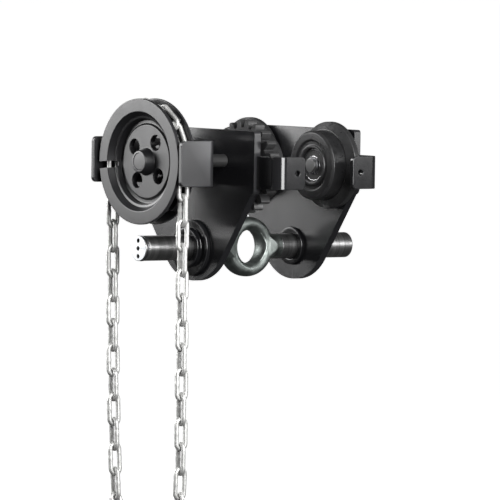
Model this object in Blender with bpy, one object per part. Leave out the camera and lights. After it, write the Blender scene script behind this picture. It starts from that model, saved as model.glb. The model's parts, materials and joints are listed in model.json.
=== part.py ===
"""Geared beam trolley, worked by an endless hand chain.

X runs along the beam, Y across it and Z up. The origin is in the middle of the four
wheels, on the surface of the beam's flange that they roll on. The near side (-Y)
carries the hand wheel, and the far side (+Y) is a plain side plate with two wheels.
"""

import math

import bmesh
import bpy
from mathutils import Matrix, Vector

MM = 0.001
NEAR, FAR = -1, 1
LEFT, RIGHT = -1, 1
SIDES = {"near": NEAR, "far": FAR}
ENDS = {"left": LEFT, "right": RIGHT}
GAP = 0.3 * MM  # between pieces that touch on the real trolley

# Side plates
PLATE_INNER = 61 * MM
PLATE_OUTER = 69 * MM
PLATE_TOP = 71.5 * MM
PLATE_SHOULDER = 8 * MM
PLATE_HALF_LENGTH = 96 * MM
PLATE_FOOT_RADIUS = 53.5 * MM
PLATE_BOTTOM = -82.5 * MM
PLATE_CORNER = 3 * MM

# Load bar, with its forged eye in the middle, and the bushes that it screws through
BAR_Z = -49 * MM
BAR_RADIUS = 12.75 * MM
BAR_NEAR_END = -140 * MM
BAR_FAR_END = 130 * MM
BAR_CHAMFER = 1 * MM
EYE_HOLE_RADIUS = 16.5 * MM
EYE_RADIUS = 30.4 * MM
EYE_HALF_THICKNESS = 10.5 * MM
LUG_FLAT = 9 * MM  # half the distance across the lug's flats, at the ring
LUG_TIP = 30.3 * MM  # where the flats run out of the bar's surface
LUG_LENGTH = 34 * MM
LUG_SWELL = (13.8 * MM, 25 * MM)  # radius, and distance from the middle
LUG_ROOT = (16.5 * MM, 16.5 * MM)
END_HOLE_RADIUS = 2.3 * MM
END_HOLE_PITCH = 7.9 * MM
STOP_RING_Y = -136 * MM
STOP_GROOVE_RADIUS = 10.6 * MM
BUSH_BORE_RADIUS = BAR_RADIUS + 0.4 * MM
BUSH_SPIGOT_RADIUS = 19 * MM
BUSH_BOSS_RADIUS = 20 * MM
BUSH_FLANGE_RADIUS = 28.5 * MM

# Wheels, on fixed axles
WHEEL_X = 64 * MM
WHEEL_Z = 35 * MM
TREAD_RADIUS = 35 * MM
WHEEL_OUTER = 59 * MM
WHEEL_STEP = 47.5 * MM  # between the gear or flange and the tread
WHEEL_INNER = 31 * MM
FLANGE_RADIUS = 44 * MM
AXLE_RADIUS = 7 * MM
BEARING_RADIUS = 17.2 * MM
BEARING_OUTER = 53.7 * MM
BEARING_INNER = 34.2 * MM

# Gear teeth
MODULE = 4 * MM
PINION_TEETH = 10
GEAR_TEETH = 22
PRESSURE_ANGLE = math.radians(20)
GEAR_ADDENDUM = 3.3 * MM
PINION_ADDENDUM = 3.6 * MM
DEDENDUM = 4.9 * MM
BACKLASH = 0.45 * MM
PINION_PHASE = math.radians(8.7)  # of its first tooth at rest, from +X towards +Z
FLANK_STEPS = 2

# Hand wheel and its shaft
SHAFT_Z = 38.4 * MM
SHAFT_RADIUS = 8.5 * MM
HANDWHEEL_FRONT = -141 * MM
HANDWHEEL_WIDTH = 23 * MM
HANDWHEEL_RADIUS = 63.5 * MM
CHAIN_DEPTH = 12.5 * MM  # of the chain's plane behind the hand wheel's front
WEB_FRONT = 10 * MM
WEB_BACK = 16 * MM
WEB_HOLE_RADIUS = 7.5 * MM
WEB_HOLE_CIRCLE = 24 * MM
WEB_HOLE_ANGLE = math.radians(53.5)
SLOT_ANGLE = math.radians(185)
SLOT_WIDTH = 7 * MM
KEY_SIDE = 4 * MM
HOUSING_FRONT = -115 * MM
HOUSING_RADIUS = 17 * MM
HOUSING_BORE_RADIUS = 11.4 * MM
HOUSING_FLANGE_RADIUS = 24 * MM

# Chain guide
GUIDE_HALF_WIDTH = 72.5 * MM
GUIDE_THICKNESS = 4.5 * MM
GUIDE_FRONT = -144 * MM
GUIDE_BACK = -99 * MM
GUIDE_HALF_HEIGHT = 23 * MM
GUIDE_BEND = 8 * MM
GUIDE_CORNER = 5 * MM
SPACER_X = 48 * MM
SPACER_Z = 40.4 * MM
SPACER_RADIUS = 6.5 * MM
SCREW_RADIUS = 3 * MM
SCREW_HEAD_RADIUS = 5.8 * MM

# Buffer brackets
BRACKET_END = 131 * MM
BRACKET_THICKNESS = 5 * MM
BRACKET_REACH = 31 * MM  # of the bent leg's tip from the middle of the beam
BRACKET_Z = 30 * MM
BRACKET_HALF_HEIGHT = 16.5 * MM
BRACKET_BEND = 12 * MM
BRACKET_CORNER = 5 * MM
BUFFER_HOLE_Y = 41 * MM
BUFFER_HOLE_Z = 30 * MM
BUFFER_HOLE_RADIUS = 2.8 * MM

# Hand chain, as the plain tube that its links fill
CHAIN_RADIUS = 7.5 * MM
CHAIN_CIRCLE = 56 * MM
CHAIN_STEP = 22 * MM
CHAIN_JOINT = 1.2 * MM  # between the two tubes, whose ends are not quite parallel
CHAIN_ROUTE = (
    (-56, 0),
    (-55.5, -60),
    (-54, -130),
    (-52, -200),
    (-49, -265),
    (-46.5, -303.5),
    (-44.5, -331.5),
    (-40.5, -351.5),
    (-29.5, -368),
    (-13, -379),
    (6.5, -383),
    (26, -379),
    (42.5, -368),
    (53.5, -351.5),
    (57.5, -331.5),
    (58.5, -303.5),
    (58.5, -265),
    (58, -200),
    (57, -130),
    (56.5, -60),
    (56, 0),
)  # millimetres from the shaft, in the plane of the chain, from left to right

BLACK_PAINT = ("black_paint", (0.02, 0.02, 0.022), 0.3, 0.2)
GREY_CASTING = ("grey_casting", (0.16, 0.16, 0.17), 0.45, 0.6)
DARK_STEEL = ("dark_steel", (0.23, 0.23, 0.22), 0.35, 0.9)
FORGED_STEEL = ("forged_steel", (0.3, 0.32, 0.31), 0.4, 0.9)
BRIGHT_STEEL = ("bright_steel", (0.62, 0.63, 0.64), 0.25, 1.0)
BRONZE = ("bronze", (0.55, 0.38, 0.17), 0.4, 1.0)
ZINC = ("zinc", (0.68, 0.68, 0.67), 0.35, 0.9)


def clear_scene():
    for obj in list(bpy.data.objects):
        bpy.data.objects.remove(obj)


def material(name, colour, roughness, metallic):
    found = bpy.data.materials.new(name)
    found.use_nodes = True
    shader = found.node_tree.nodes["Principled BSDF"]
    shader.inputs["Base Color"].default_value = (*colour, 1)
    shader.inputs["Roughness"].default_value = roughness
    shader.inputs["Metallic"].default_value = metallic
    return found


def place(name, bm, finish, location=(0, 0, 0), parent=None):
    """An object made of the bmesh, closed and facing out, at a place in the world."""
    bmesh.ops.recalc_face_normals(bm, faces=bm.faces)
    mesh = bpy.data.meshes.new(name)
    bm.to_mesh(mesh)
    bm.free()
    mesh.shade_smooth()
    mesh.set_sharp_from_angle(angle=math.radians(30))
    mesh.materials.append(material(f"{name}_{finish[0]}", *finish[1:]))
    obj = bpy.data.objects.new(name, mesh)
    bpy.context.scene.collection.objects.link(obj)
    if parent:
        obj.parent = parent
        obj.location = Vector(location) - parent.location
    else:
        obj.location = location
    return obj


def axis_empty(name, location):
    """An empty on a joint's axis, which the pieces that move with it are parented to."""
    obj = bpy.data.objects.new(name, None)
    obj.location = location
    bpy.context.scene.collection.objects.link(obj)
    return obj


def boolean(obj, other, operation):
    other.hide_render = True
    other.display_type = "WIRE"
    modifier = obj.modifiers.new(operation.lower(), "BOOLEAN")
    modifier.operation = operation
    modifier.object = other


def revolve(profile, segments=24):
    """A closed solid turned around the Y axis, from its (radius, y) points in order."""
    bm = bmesh.new()
    closed = profile[0][0] > 0
    rings = []
    for radius, y in profile:
        if radius == 0:
            rings.append([bm.verts.new((0, y, 0))] * segments)
            continue
        ring = []
        for step in range(segments):
            angle = math.tau * step / segments
            ring.append(bm.verts.new((radius * math.cos(angle), y, radius * math.sin(angle))))
        rings.append(ring)
    pairs = list(zip(rings, rings[1:]))
    if closed:
        pairs.append((rings[-1], rings[0]))
    for ring, other in pairs:
        for step in range(segments):
            after = (step + 1) % segments
            corners = (ring[step], ring[after], other[after], other[step])
            bm.faces.new(dict.fromkeys(corners))
    return bm


def arc(centre, radius, start, end, count):
    """Points from one angle to another, in degrees, with both ends."""
    points = []
    for step in range(count + 1):
        angle = math.radians(start + (end - start) * step / count)
        points.append(
            (centre[0] + radius * math.cos(angle), centre[1] + radius * math.sin(angle))
        )
    return points


def circle(centre, radius, count=24):
    return arc(centre, radius, 0, 360, count)[:-1]


def extrude(outline, low, high, holes=(), axis="Y"):
    """A solid with this outline and these holes, from low to high along one axis."""
    bm = bmesh.new()
    for loop in (outline, *holes):
        verts = []
        for first, second in loop:
            point = (first, low, second) if axis == "Y" else (first, second, low)
            verts.append(bm.verts.new(point))
        for index, vert in enumerate(verts):
            bm.edges.new((vert, verts[index - 1]))
    bmesh.ops.triangle_fill(bm, edges=bm.edges, use_beauty=True, use_dissolve=False)
    result = bmesh.ops.extrude_face_region(bm, geom=bm.faces[:])
    moved = [item for item in result["geom"] if isinstance(item, bmesh.types.BMVert)]
    along = Vector((0, 1, 0)) if axis == "Y" else Vector((0, 0, 1))
    bmesh.ops.translate(bm, verts=moved, vec=along * (high - low))
    return bm


def box(low, high):
    bm = bmesh.new()
    bmesh.ops.create_cube(bm, size=1)
    size = Vector(high) - Vector(low)
    middle = (Vector(high) + Vector(low)) / 2
    bmesh.ops.scale(bm, vec=size, verts=bm.verts)
    bmesh.ops.translate(bm, vec=middle, verts=bm.verts)
    return bm


def mirrored(profile, side):
    """A profile given at distances from the beam's middle, put on one side of it."""
    return [(radius, side * distance) for radius, distance in profile]


def involute(angle):
    return math.tan(angle) - angle


def gear_outline(teeth, addendum, phase):
    """A spur gear's outline, with the middle of one tooth at the phase angle."""
    pitch = teeth * MODULE / 2
    base = pitch * math.cos(PRESSURE_ANGLE)
    root = pitch - DEDENDUM
    tip = pitch + addendum
    half_tooth = (math.pi * MODULE / 2 - BACKLASH) / 2 / pitch + involute(PRESSURE_ANGLE)
    flank = []
    start = max(root + 0.6 * MM, base)
    for step in range(FLANK_STEPS + 1):
        radius = start + (tip - start) * step / FLANK_STEPS
        rolled = involute(math.acos(min(1, base / radius)))
        flank.append((radius, half_tooth - rolled))
    flank.insert(0, (root, half_tooth + 0.4 * MM / root))
    outline = []
    for tooth in range(teeth):
        middle = phase + math.tau * tooth / teeth
        for radius, half in flank:
            outline.append((radius * math.cos(middle - half), radius * math.sin(middle - half)))
        for radius, half in reversed(flank):
            outline.append((radius * math.cos(middle + half), radius * math.sin(middle + half)))
    return outline


def gear_phase(end):
    """The angle of a gear's tooth, so that a gap takes the pinion's tooth at rest.

    Each line of centres slopes a little. The pinion has a tooth on both lines when it
    is turned by the slope on one side and by its opposite on the other.
    """
    slope = -end * math.atan2(SHAFT_Z - WHEEL_Z, WHEEL_X)
    turned_back = (PINION_PHASE - slope) * PINION_TEETH / GEAR_TEETH
    toward_pinion = math.pi if end == RIGHT else 0
    return toward_pinion + slope - turned_back + math.pi / GEAR_TEETH


def side_plate(name, side, parent):
    foot_z = PLATE_BOTTOM + PLATE_FOOT_RADIUS
    across = math.hypot(PLATE_HALF_LENGTH, PLATE_SHOULDER - foot_z)
    rise = math.degrees(math.atan2(PLATE_SHOULDER - foot_z, PLATE_HALF_LENGTH))
    touch = rise - math.degrees(math.acos(PLATE_FOOT_RADIUS / across))
    corner_x = PLATE_HALF_LENGTH - PLATE_CORNER
    corner_z = PLATE_TOP - PLATE_CORNER
    outline = arc((corner_x, corner_z), PLATE_CORNER, 0, 90, 3)
    outline += arc((-corner_x, corner_z), PLATE_CORNER, 90, 180, 3)
    outline.append((-PLATE_HALF_LENGTH, PLATE_SHOULDER))
    outline += arc((0, foot_z), PLATE_FOOT_RADIUS, -180 - touch, touch, 12)
    outline.append((PLATE_HALF_LENGTH, PLATE_SHOULDER))
    holes = [circle((0, BAR_Z), BUSH_SPIGOT_RADIUS + GAP)]
    for end in ENDS.values():
        holes.append(circle((end * WHEEL_X, WHEEL_Z), AXLE_RADIUS + GAP, 16))
    if side == NEAR:
        holes.append(circle((0, SHAFT_Z), HOUSING_BORE_RADIUS + 2 * MM + GAP))
        for end in ENDS.values():
            holes.append(circle((end * SPACER_X, SPACER_Z), SCREW_RADIUS + GAP, 12))
    low, high = sorted((side * PLATE_INNER, side * PLATE_OUTER))
    place(name, extrude(outline, low, high, holes), BLACK_PAINT, parent=parent)


def bar_bush(name, side, parent):
    """The threaded bush that the load bar turns in, with its stepped flange outside."""
    flange = PLATE_OUTER + GAP
    profile = [
        (BUSH_BORE_RADIUS, flange + 9.7 * MM),
        (BUSH_BOSS_RADIUS, flange + 9.7 * MM),
        (BUSH_BOSS_RADIUS, flange + 4.7 * MM),
        (BUSH_FLANGE_RADIUS, flange + 4.7 * MM),
        (BUSH_FLANGE_RADIUS, flange),
        (BUSH_SPIGOT_RADIUS, flange),
        (BUSH_SPIGOT_RADIUS, PLATE_INNER - 4 * MM),
        (BUSH_BORE_RADIUS, PLATE_INNER - 4 * MM),
    ]
    place(name, revolve(mirrored(profile, side)), BLACK_PAINT, (0, 0, BAR_Z), parent)


def load_bar(parent):
    """The round bar, flattened in the middle and forged into a ring there."""
    profile = [
        (0, BAR_NEAR_END),
        (BAR_RADIUS - BAR_CHAMFER, BAR_NEAR_END),
        (BAR_RADIUS, BAR_NEAR_END + BAR_CHAMFER),
        (BAR_RADIUS, STOP_RING_Y - 1.2 * MM),
        (STOP_GROOVE_RADIUS, STOP_RING_Y - 1.2 * MM),
        (STOP_GROOVE_RADIUS, STOP_RING_Y + 1.2 * MM),
        (BAR_RADIUS, STOP_RING_Y + 1.2 * MM),
        (BAR_RADIUS, -LUG_LENGTH),
        (LUG_SWELL[0], -LUG_SWELL[1]),
        (LUG_ROOT[0], -LUG_ROOT[1]),
        (LUG_ROOT[0], LUG_ROOT[1]),
        (LUG_SWELL[0], LUG_SWELL[1]),
        (BAR_RADIUS, LUG_LENGTH),
        (BAR_RADIUS, BAR_FAR_END - BAR_CHAMFER),
        (BAR_RADIUS - BAR_CHAMFER, BAR_FAR_END),
        (0, BAR_FAR_END),
    ]
    centre = (0, 0, BAR_Z)
    bar = place("load_bar", revolve(profile), FORGED_STEEL, centre, parent)
    flats = place("lug_flats", lug_sides(), FORGED_STEEL, centre, parent)
    boolean(bar, flats, "INTERSECT")
    eye = place("eye_ring", eye_ring(), FORGED_STEEL, centre, parent)
    boolean(bar, eye, "UNION")
    hole = extrude(circle((0, 0), EYE_HOLE_RADIUS, 32), -30 * MM, 30 * MM, axis="Z")
    bmesh.ops.rotate(hole, verts=hole.verts, matrix=quarter_turn("Y"))
    boolean(bar, place("eye_hole", hole, FORGED_STEEL, centre, parent), "DIFFERENCE")
    for step in (-1, 0, 1):
        drill = revolve(
            [
                (0, BAR_NEAR_END - 2 * MM),
                (END_HOLE_RADIUS, BAR_NEAR_END - 2 * MM),
                (END_HOLE_RADIUS, BAR_NEAR_END + 6 * MM),
                (0, BAR_NEAR_END + 7 * MM),
            ],
            8,
        )
        spot = (0, 0, BAR_Z + step * END_HOLE_PITCH)
        boolean(bar, place(f"end_drill_{step + 1}", drill, FORGED_STEEL, spot, parent), "DIFFERENCE")


def quarter_turn(axis):
    return Matrix.Rotation(math.pi / 2, 3, axis)


def lug_sides():
    """What is left between the lugs' flats, which run out of the bar's surface."""
    flat_end = LUG_ROOT[1]
    tip = BAR_RADIUS + 0.3 * MM
    far = 160 * MM
    outline = [
        (LUG_FLAT, -flat_end),
        (LUG_FLAT, flat_end),
        (tip, LUG_TIP),
        (20 * MM, LUG_LENGTH),
        (20 * MM, far),
        (-20 * MM, far),
        (-20 * MM, LUG_LENGTH),
        (-tip, LUG_TIP),
        (-LUG_FLAT, flat_end),
        (-LUG_FLAT, -flat_end),
        (-tip, -LUG_TIP),
        (-20 * MM, -LUG_LENGTH),
        (-20 * MM, -far),
        (20 * MM, -far),
        (20 * MM, -LUG_LENGTH),
        (tip, -LUG_TIP),
    ]
    return extrude(outline, -40 * MM, 40 * MM, axis="Z")


def eye_ring():
    """A ring around the X axis, of an oval section, solid in the middle until it is bored."""
    inner = EYE_HOLE_RADIUS - 2 * MM
    middle = (EYE_HOLE_RADIUS + EYE_RADIUS) / 2
    half_width = EYE_RADIUS - middle
    profile = [(0, -EYE_HALF_THICKNESS), (inner, -EYE_HALF_THICKNESS)]
    for step in range(1, 7):
        angle = math.pi * (step / 7 - 0.5)
        radius = middle + half_width * math.cos(angle)
        profile.append((radius, EYE_HALF_THICKNESS * math.sin(angle)))
    profile += [(inner, EYE_HALF_THICKNESS), (0, EYE_HALF_THICKNESS)]
    bm = revolve(profile, 32)
    bmesh.ops.rotate(bm, verts=bm.verts, matrix=quarter_turn("Z"))
    return bm


def stop_ring(parent):
    """A ring in the bar's groove: it travels with the bar and is free to turn on it."""
    half_width = 0.8 * MM
    inner = STOP_GROOVE_RADIUS + 0.5 * MM
    outer = BAR_RADIUS + 0.3 * MM
    profile = [
        (inner, STOP_RING_Y - half_width),
        (outer, STOP_RING_Y - half_width),
        (outer, STOP_RING_Y + half_width),
        (inner, STOP_RING_Y + half_width),
    ]
    place("bar_stop_ring", revolve(profile), BRIGHT_STEEL, (0, 0, BAR_Z), parent)


def wheel(name, side, end, parent):
    """A trolley wheel: a toothed flange on the near side and a plain one on the far side."""
    centre = (end * WHEEL_X, 0, WHEEL_Z)
    tread = [
        (0, WHEEL_OUTER - 1 * MM),
        (TREAD_RADIUS - 3 * MM, WHEEL_OUTER - 1 * MM),
        (TREAD_RADIUS, WHEEL_OUTER - 3 * MM),
        (TREAD_RADIUS, WHEEL_INNER + 2 * MM),
        (TREAD_RADIUS - 2 * MM, WHEEL_INNER),
        (0, WHEEL_INNER),
    ]
    body = place(name, revolve(mirrored(tread, side), 32), GREY_CASTING, centre, parent)
    if side == NEAR:
        outline = gear_outline(GEAR_TEETH, GEAR_ADDENDUM, gear_phase(end))
        rim = extrude(outline, -WHEEL_OUTER, -WHEEL_STEP)
    else:
        flange = [
            (0, WHEEL_OUTER),
            (FLANGE_RADIUS - 2 * MM, WHEEL_OUTER),
            (FLANGE_RADIUS, WHEEL_OUTER - 2 * MM),
            (FLANGE_RADIUS, WHEEL_OUTER - 6 * MM),
            (TREAD_RADIUS + 1 * MM, WHEEL_STEP),
            (0, WHEEL_STEP),
        ]
        rim = revolve(mirrored(flange, side), 32)
    boolean(body, place(f"{name}_rim", rim, GREY_CASTING, centre, parent), "UNION")
    bore = [
        (0, WHEEL_OUTER + 5 * MM),
        (12 * MM, WHEEL_OUTER + 5 * MM),
        (12 * MM, BEARING_OUTER + GAP),
        (BEARING_RADIUS + GAP, BEARING_OUTER + GAP),
        (BEARING_RADIUS + GAP, WHEEL_INNER - 5 * MM),
        (0, WHEEL_INNER - 5 * MM),
    ]
    cutter = place(f"{name}_bore", revolve(mirrored(bore, side)), GREY_CASTING, centre, parent)
    boolean(body, cutter, "DIFFERENCE")


def bearing(name, side, end, parent):
    """A sealed ball bearing, as one ring with a channel between its races on one face."""
    races = (AXLE_RADIUS + GAP, AXLE_RADIUS + 3 * MM, BEARING_RADIUS - 3 * MM, BEARING_RADIUS)
    channel = 0.8 * MM
    outer, inner = BEARING_OUTER, BEARING_INNER
    profile = [
        (races[0], outer),
        (races[3], outer),
        (races[3], inner),
        (races[2], inner),
        (races[2], inner + channel),
        (races[1], inner + channel),
        (races[1], inner),
        (races[0], inner),
    ]
    centre = (end * WHEEL_X, 0, WHEEL_Z)
    place(name, revolve(mirrored(profile, side)), BRIGHT_STEEL, centre, parent)


def axle(name, side, end, parent):
    """A pin riveted flush into the side plate, with a shoulder and a circlip's groove."""
    shoulder = AXLE_RADIUS + 2.5 * MM
    groove = AXLE_RADIUS - 1 * MM
    clip = BEARING_INNER - GAP
    profile = [
        (0, PLATE_OUTER - GAP),
        (AXLE_RADIUS, PLATE_OUTER - GAP),
        (AXLE_RADIUS, PLATE_INNER - GAP),
        (shoulder, PLATE_INNER - GAP),
        (shoulder, BEARING_OUTER + GAP),
        (AXLE_RADIUS, BEARING_OUTER + GAP),
        (AXLE_RADIUS, clip),
        (groove, clip),
        (groove, clip - 1.8 * MM),
        (AXLE_RADIUS, clip - 1.8 * MM),
        (AXLE_RADIUS, WHEEL_INNER - 0.5 * MM),
        (AXLE_RADIUS - 1 * MM, WHEEL_INNER - 1.5 * MM),
        (0, WHEEL_INNER - 1.5 * MM),
    ]
    centre = (end * WHEEL_X, 0, WHEEL_Z)
    place(name, revolve(mirrored(profile, side), 16), DARK_STEEL, centre, parent)


def circlip_outline(inner, outer):
    """An open ring in the XZ plane, with its mouth at the bottom."""
    mouth = 25
    outline = arc((0, 0), outer, -90 + mouth, 270 - mouth, 12)
    return outline + arc((0, 0), inner, 270 - mouth * 0.6, -90 + mouth * 0.6, 12)


def circlip(name, centre, inner, outer, low, high, parent):
    place(name, extrude(circlip_outline(inner, outer), low, high), BRIGHT_STEEL, centre, parent)


def wheel_circlip(name, side, end, parent):
    start = BEARING_INNER - 2 * GAP
    low, high = sorted((side * start, side * (start - 1.2 * MM)))
    centre = (end * WHEEL_X, 0, WHEEL_Z)
    circlip(name, centre, AXLE_RADIUS - 0.7 * MM, AXLE_RADIUS + 3 * MM, low, high, parent)


def bracket_outline():
    """The bent strip's outline seen from above, on the near right corner."""
    outer, inner = BRACKET_END, BRACKET_END - BRACKET_THICKNESS
    front = -(PLATE_INNER + BRACKET_THICKNESS)
    start = PLATE_HALF_LENGTH + GAP
    small = BRACKET_BEND - BRACKET_THICKNESS
    outline = [(start, front)]
    outline += arc((outer - BRACKET_BEND, front + BRACKET_BEND), BRACKET_BEND, -90, 0, 5)
    outline += [(outer, -BRACKET_REACH), (inner, -BRACKET_REACH)]
    outline += arc((inner - small, -PLATE_INNER + small), small, 0, -90, 3)
    outline.append((start, -PLATE_INNER))
    return outline


def round_tips(bm, wanted, radius):
    """Rounds the corners of a strip's free end: the short edges that wanted picks."""
    edges = [edge for edge in bm.edges if all(wanted(vert.co) for vert in edge.verts)]
    bmesh.ops.bevel(bm, geom=edges, offset=radius, segments=3, affect="EDGES", profile=0.5)


def bracket(name, side, end, parent):
    low, high = BRACKET_Z - BRACKET_HALF_HEIGHT, BRACKET_Z + BRACKET_HALF_HEIGHT
    bm = extrude(bracket_outline(), low, high, axis="Z")
    for level in (low, high):
        round_tips(
            bm,
            lambda co: abs(co.y + BRACKET_REACH) < GAP and abs(co.z - level) < GAP,
            BRACKET_CORNER,
        )
    bmesh.ops.scale(bm, vec=(end, -side, 1), verts=bm.verts)
    body = place(name, bm, BLACK_PAINT, parent=parent)
    hole = circle((0, 0), BUFFER_HOLE_RADIUS, 16)
    drill = extrude(hole, -15 * MM, 15 * MM, axis="Z")
    bmesh.ops.rotate(drill, verts=drill.verts, matrix=quarter_turn("Y"))
    spot = (end * BRACKET_END, side * BUFFER_HOLE_Y, BUFFER_HOLE_Z)
    boolean(body, place(f"{name}_hole", drill, BLACK_PAINT, spot, parent), "DIFFERENCE")


def shaft_housing():
    """The tube that the hand wheel's shaft runs in, with its flange on the side plate."""
    spigot = HOUSING_BORE_RADIUS + 2 * MM
    flange = -PLATE_OUTER - GAP
    profile = [
        (HOUSING_BORE_RADIUS, HOUSING_FRONT),
        (HOUSING_RADIUS - 1 * MM, HOUSING_FRONT),
        (HOUSING_RADIUS, HOUSING_FRONT + 1 * MM),
        (HOUSING_RADIUS, flange - 5 * MM),
        (HOUSING_FLANGE_RADIUS, flange - 5 * MM),
        (HOUSING_FLANGE_RADIUS, flange),
        (spigot, flange),
        (spigot, -PLATE_INNER),
        (HOUSING_BORE_RADIUS, -PLATE_INNER),
    ]
    place("shaft_housing", revolve(profile), BLACK_PAINT, (0, 0, SHAFT_Z))


def shaft_bush(name, low, high):
    inner, outer = SHAFT_RADIUS + 0.35 * MM, HOUSING_BORE_RADIUS - GAP
    profile = [(inner, low), (outer, low), (outer, high), (inner, high)]
    place(name, revolve(profile), BRONZE, (0, 0, SHAFT_Z))


def drive_shaft(parent):
    clip = -WHEEL_STEP + 1 * MM
    profile = [
        (0, HANDWHEEL_FRONT + 0.5 * MM),
        (SHAFT_RADIUS - 0.5 * MM, HANDWHEEL_FRONT + 0.5 * MM),
        (SHAFT_RADIUS, HANDWHEEL_FRONT + 1 * MM),
        (SHAFT_RADIUS, clip),
        (SHAFT_RADIUS - 1 * MM, clip),
        (SHAFT_RADIUS - 1 * MM, clip + 1.8 * MM),
        (SHAFT_RADIUS, clip + 1.8 * MM),
        (SHAFT_RADIUS, clip + 4 * MM),
        (0, clip + 4 * MM),
    ]
    shaft = place("drive_shaft", revolve(profile), DARK_STEEL, (0, 0, SHAFT_Z), parent)
    boolean(shaft, key_seat("shaft_keyway", parent), "DIFFERENCE")
    low, high = clip + GAP, clip + 1.5 * MM
    centre = (0, 0, SHAFT_Z)
    inner, outer = SHAFT_RADIUS - 0.7 * MM, SHAFT_RADIUS + 3.5 * MM
    circlip("pinion_circlip", centre, inner, outer, low, high, parent)


def key_block(name, grow, parent):
    """The hand wheel's key, or the seat that it fills when grow is above zero."""
    half = KEY_SIDE / 2 + grow
    low = (-half, HANDWHEEL_FRONT + 4 * MM - grow, SHAFT_RADIUS - half)
    high = (half, HANDWHEEL_FRONT + 20 * MM + grow, SHAFT_RADIUS + half)
    return place(name, box(low, high), DARK_STEEL, (0, 0, SHAFT_Z), parent)


def key_seat(name, parent):
    return key_block(name, GAP, parent)


def drive_pinion(parent):
    outline = gear_outline(PINION_TEETH, PINION_ADDENDUM, PINION_PHASE)
    bore = circle((0, 0), SHAFT_RADIUS + GAP)
    bm = extrude(outline, -WHEEL_OUTER, -WHEEL_STEP + 0.5 * MM, [bore])
    place("drive_pinion", bm, GREY_CASTING, (0, 0, SHAFT_Z), parent)


def handwheel(parent):
    """The pocket wheel: a dished disc with four holes, and the chain's groove outside."""
    front = HANDWHEEL_FRONT
    back = front + HANDWHEEL_WIDTH
    groove = CHAIN_RADIUS + 0.4 * MM
    chain = front + CHAIN_DEPTH
    bore = SHAFT_RADIUS + GAP
    profile = [
        (bore, front),
        (11 * MM, front),
        (13.7 * MM, front + WEB_FRONT),
        (36.6 * MM, front + WEB_FRONT),
        (42 * MM, front + 3.2 * MM),
        (44 * MM, front + 3 * MM),
        (50 * MM, front),
        (HANDWHEEL_RADIUS, front),
        (HANDWHEEL_RADIUS, chain - groove),
        (45.4 * MM, chain - groove),
        (44 * MM, chain),
        (45.4 * MM, chain + groove),
        (HANDWHEEL_RADIUS, chain + groove),
        (HANDWHEEL_RADIUS, back),
        (40 * MM, back),
        (37 * MM, front + WEB_BACK),
        (14 * MM, front + WEB_BACK),
        (13 * MM, back + 2.5 * MM),
        (bore, back + 2.5 * MM),
    ]
    centre = (0, 0, SHAFT_Z)
    body = place("handwheel", revolve(profile, 40), GREY_CASTING, centre, parent)
    for quarter in range(4):
        angle = WEB_HOLE_ANGLE + quarter * math.pi / 2
        spot = (WEB_HOLE_CIRCLE * math.cos(angle), WEB_HOLE_CIRCLE * math.sin(angle))
        drill = extrude(circle(spot, WEB_HOLE_RADIUS, 16), front + 5 * MM, back)
        cutter = place(f"web_hole_{quarter}", drill, GREY_CASTING, centre, parent)
        boolean(body, cutter, "DIFFERENCE")
    boolean(body, key_seat("hub_keyway", parent), "DIFFERENCE")
    low = (43 * MM, front - 2 * MM, -SLOT_WIDTH / 2)
    high = (HANDWHEEL_RADIUS + 5 * MM, chain - 2 * MM, SLOT_WIDTH / 2)
    slot = place("rim_slot", box(low, high), GREY_CASTING, centre, parent)
    slot.rotation_euler = (0, -SLOT_ANGLE, 0)
    boolean(body, slot, "DIFFERENCE")


def chain_guide():
    """A bent strip, open to the front, with one leg on each side of the hand wheel."""
    wide, thick = GUIDE_HALF_WIDTH, GUIDE_THICKNESS
    corner = GUIDE_BACK - GUIDE_BEND
    small = GUIDE_BEND - thick
    outline = [(wide - thick, GUIDE_FRONT), (wide, GUIDE_FRONT)]
    outline += arc((wide - GUIDE_BEND, corner), GUIDE_BEND, 0, 90, 5)
    outline += arc((GUIDE_BEND - wide, corner), GUIDE_BEND, 90, 180, 5)
    outline += [(-wide, GUIDE_FRONT), (thick - wide, GUIDE_FRONT)]
    outline += arc((GUIDE_BEND - wide, corner), small, 180, 90, 3)
    outline += arc((wide - GUIDE_BEND, corner), small, 90, 0, 3)
    low, high = SHAFT_Z - GUIDE_HALF_HEIGHT, SHAFT_Z + GUIDE_HALF_HEIGHT
    bm = extrude(outline, low, high, axis="Z")
    for level in (low, high):
        round_tips(
            bm,
            lambda co: abs(co.y - GUIDE_FRONT) < GAP and abs(co.z - level) < GAP,
            GUIDE_CORNER,
        )
    guide = place("chain_guide", bm, BLACK_PAINT)
    openings = {"shaft": (0, SHAFT_Z, HOUSING_RADIUS + GAP)}
    for side, end in ENDS.items():
        openings[side] = (end * SPACER_X, SPACER_Z, SCREW_RADIUS + GAP)
    for label, (x, z, radius) in openings.items():
        drill = extrude(circle((x, z), radius), GUIDE_BACK - 15 * MM, GUIDE_BACK + 5 * MM)
        boolean(guide, place(f"guide_hole_{label}", drill, BLACK_PAINT), "DIFFERENCE")


def guide_spacer(name, end):
    low, high = GUIDE_BACK + GAP, -PLATE_OUTER - GAP
    bore = SCREW_RADIUS + GAP
    profile = [(bore, low), (SPACER_RADIUS, low), (SPACER_RADIUS, high), (bore, high)]
    place(name, revolve(profile, 16), BLACK_PAINT, (end * SPACER_X, 0, SPACER_Z))


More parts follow.
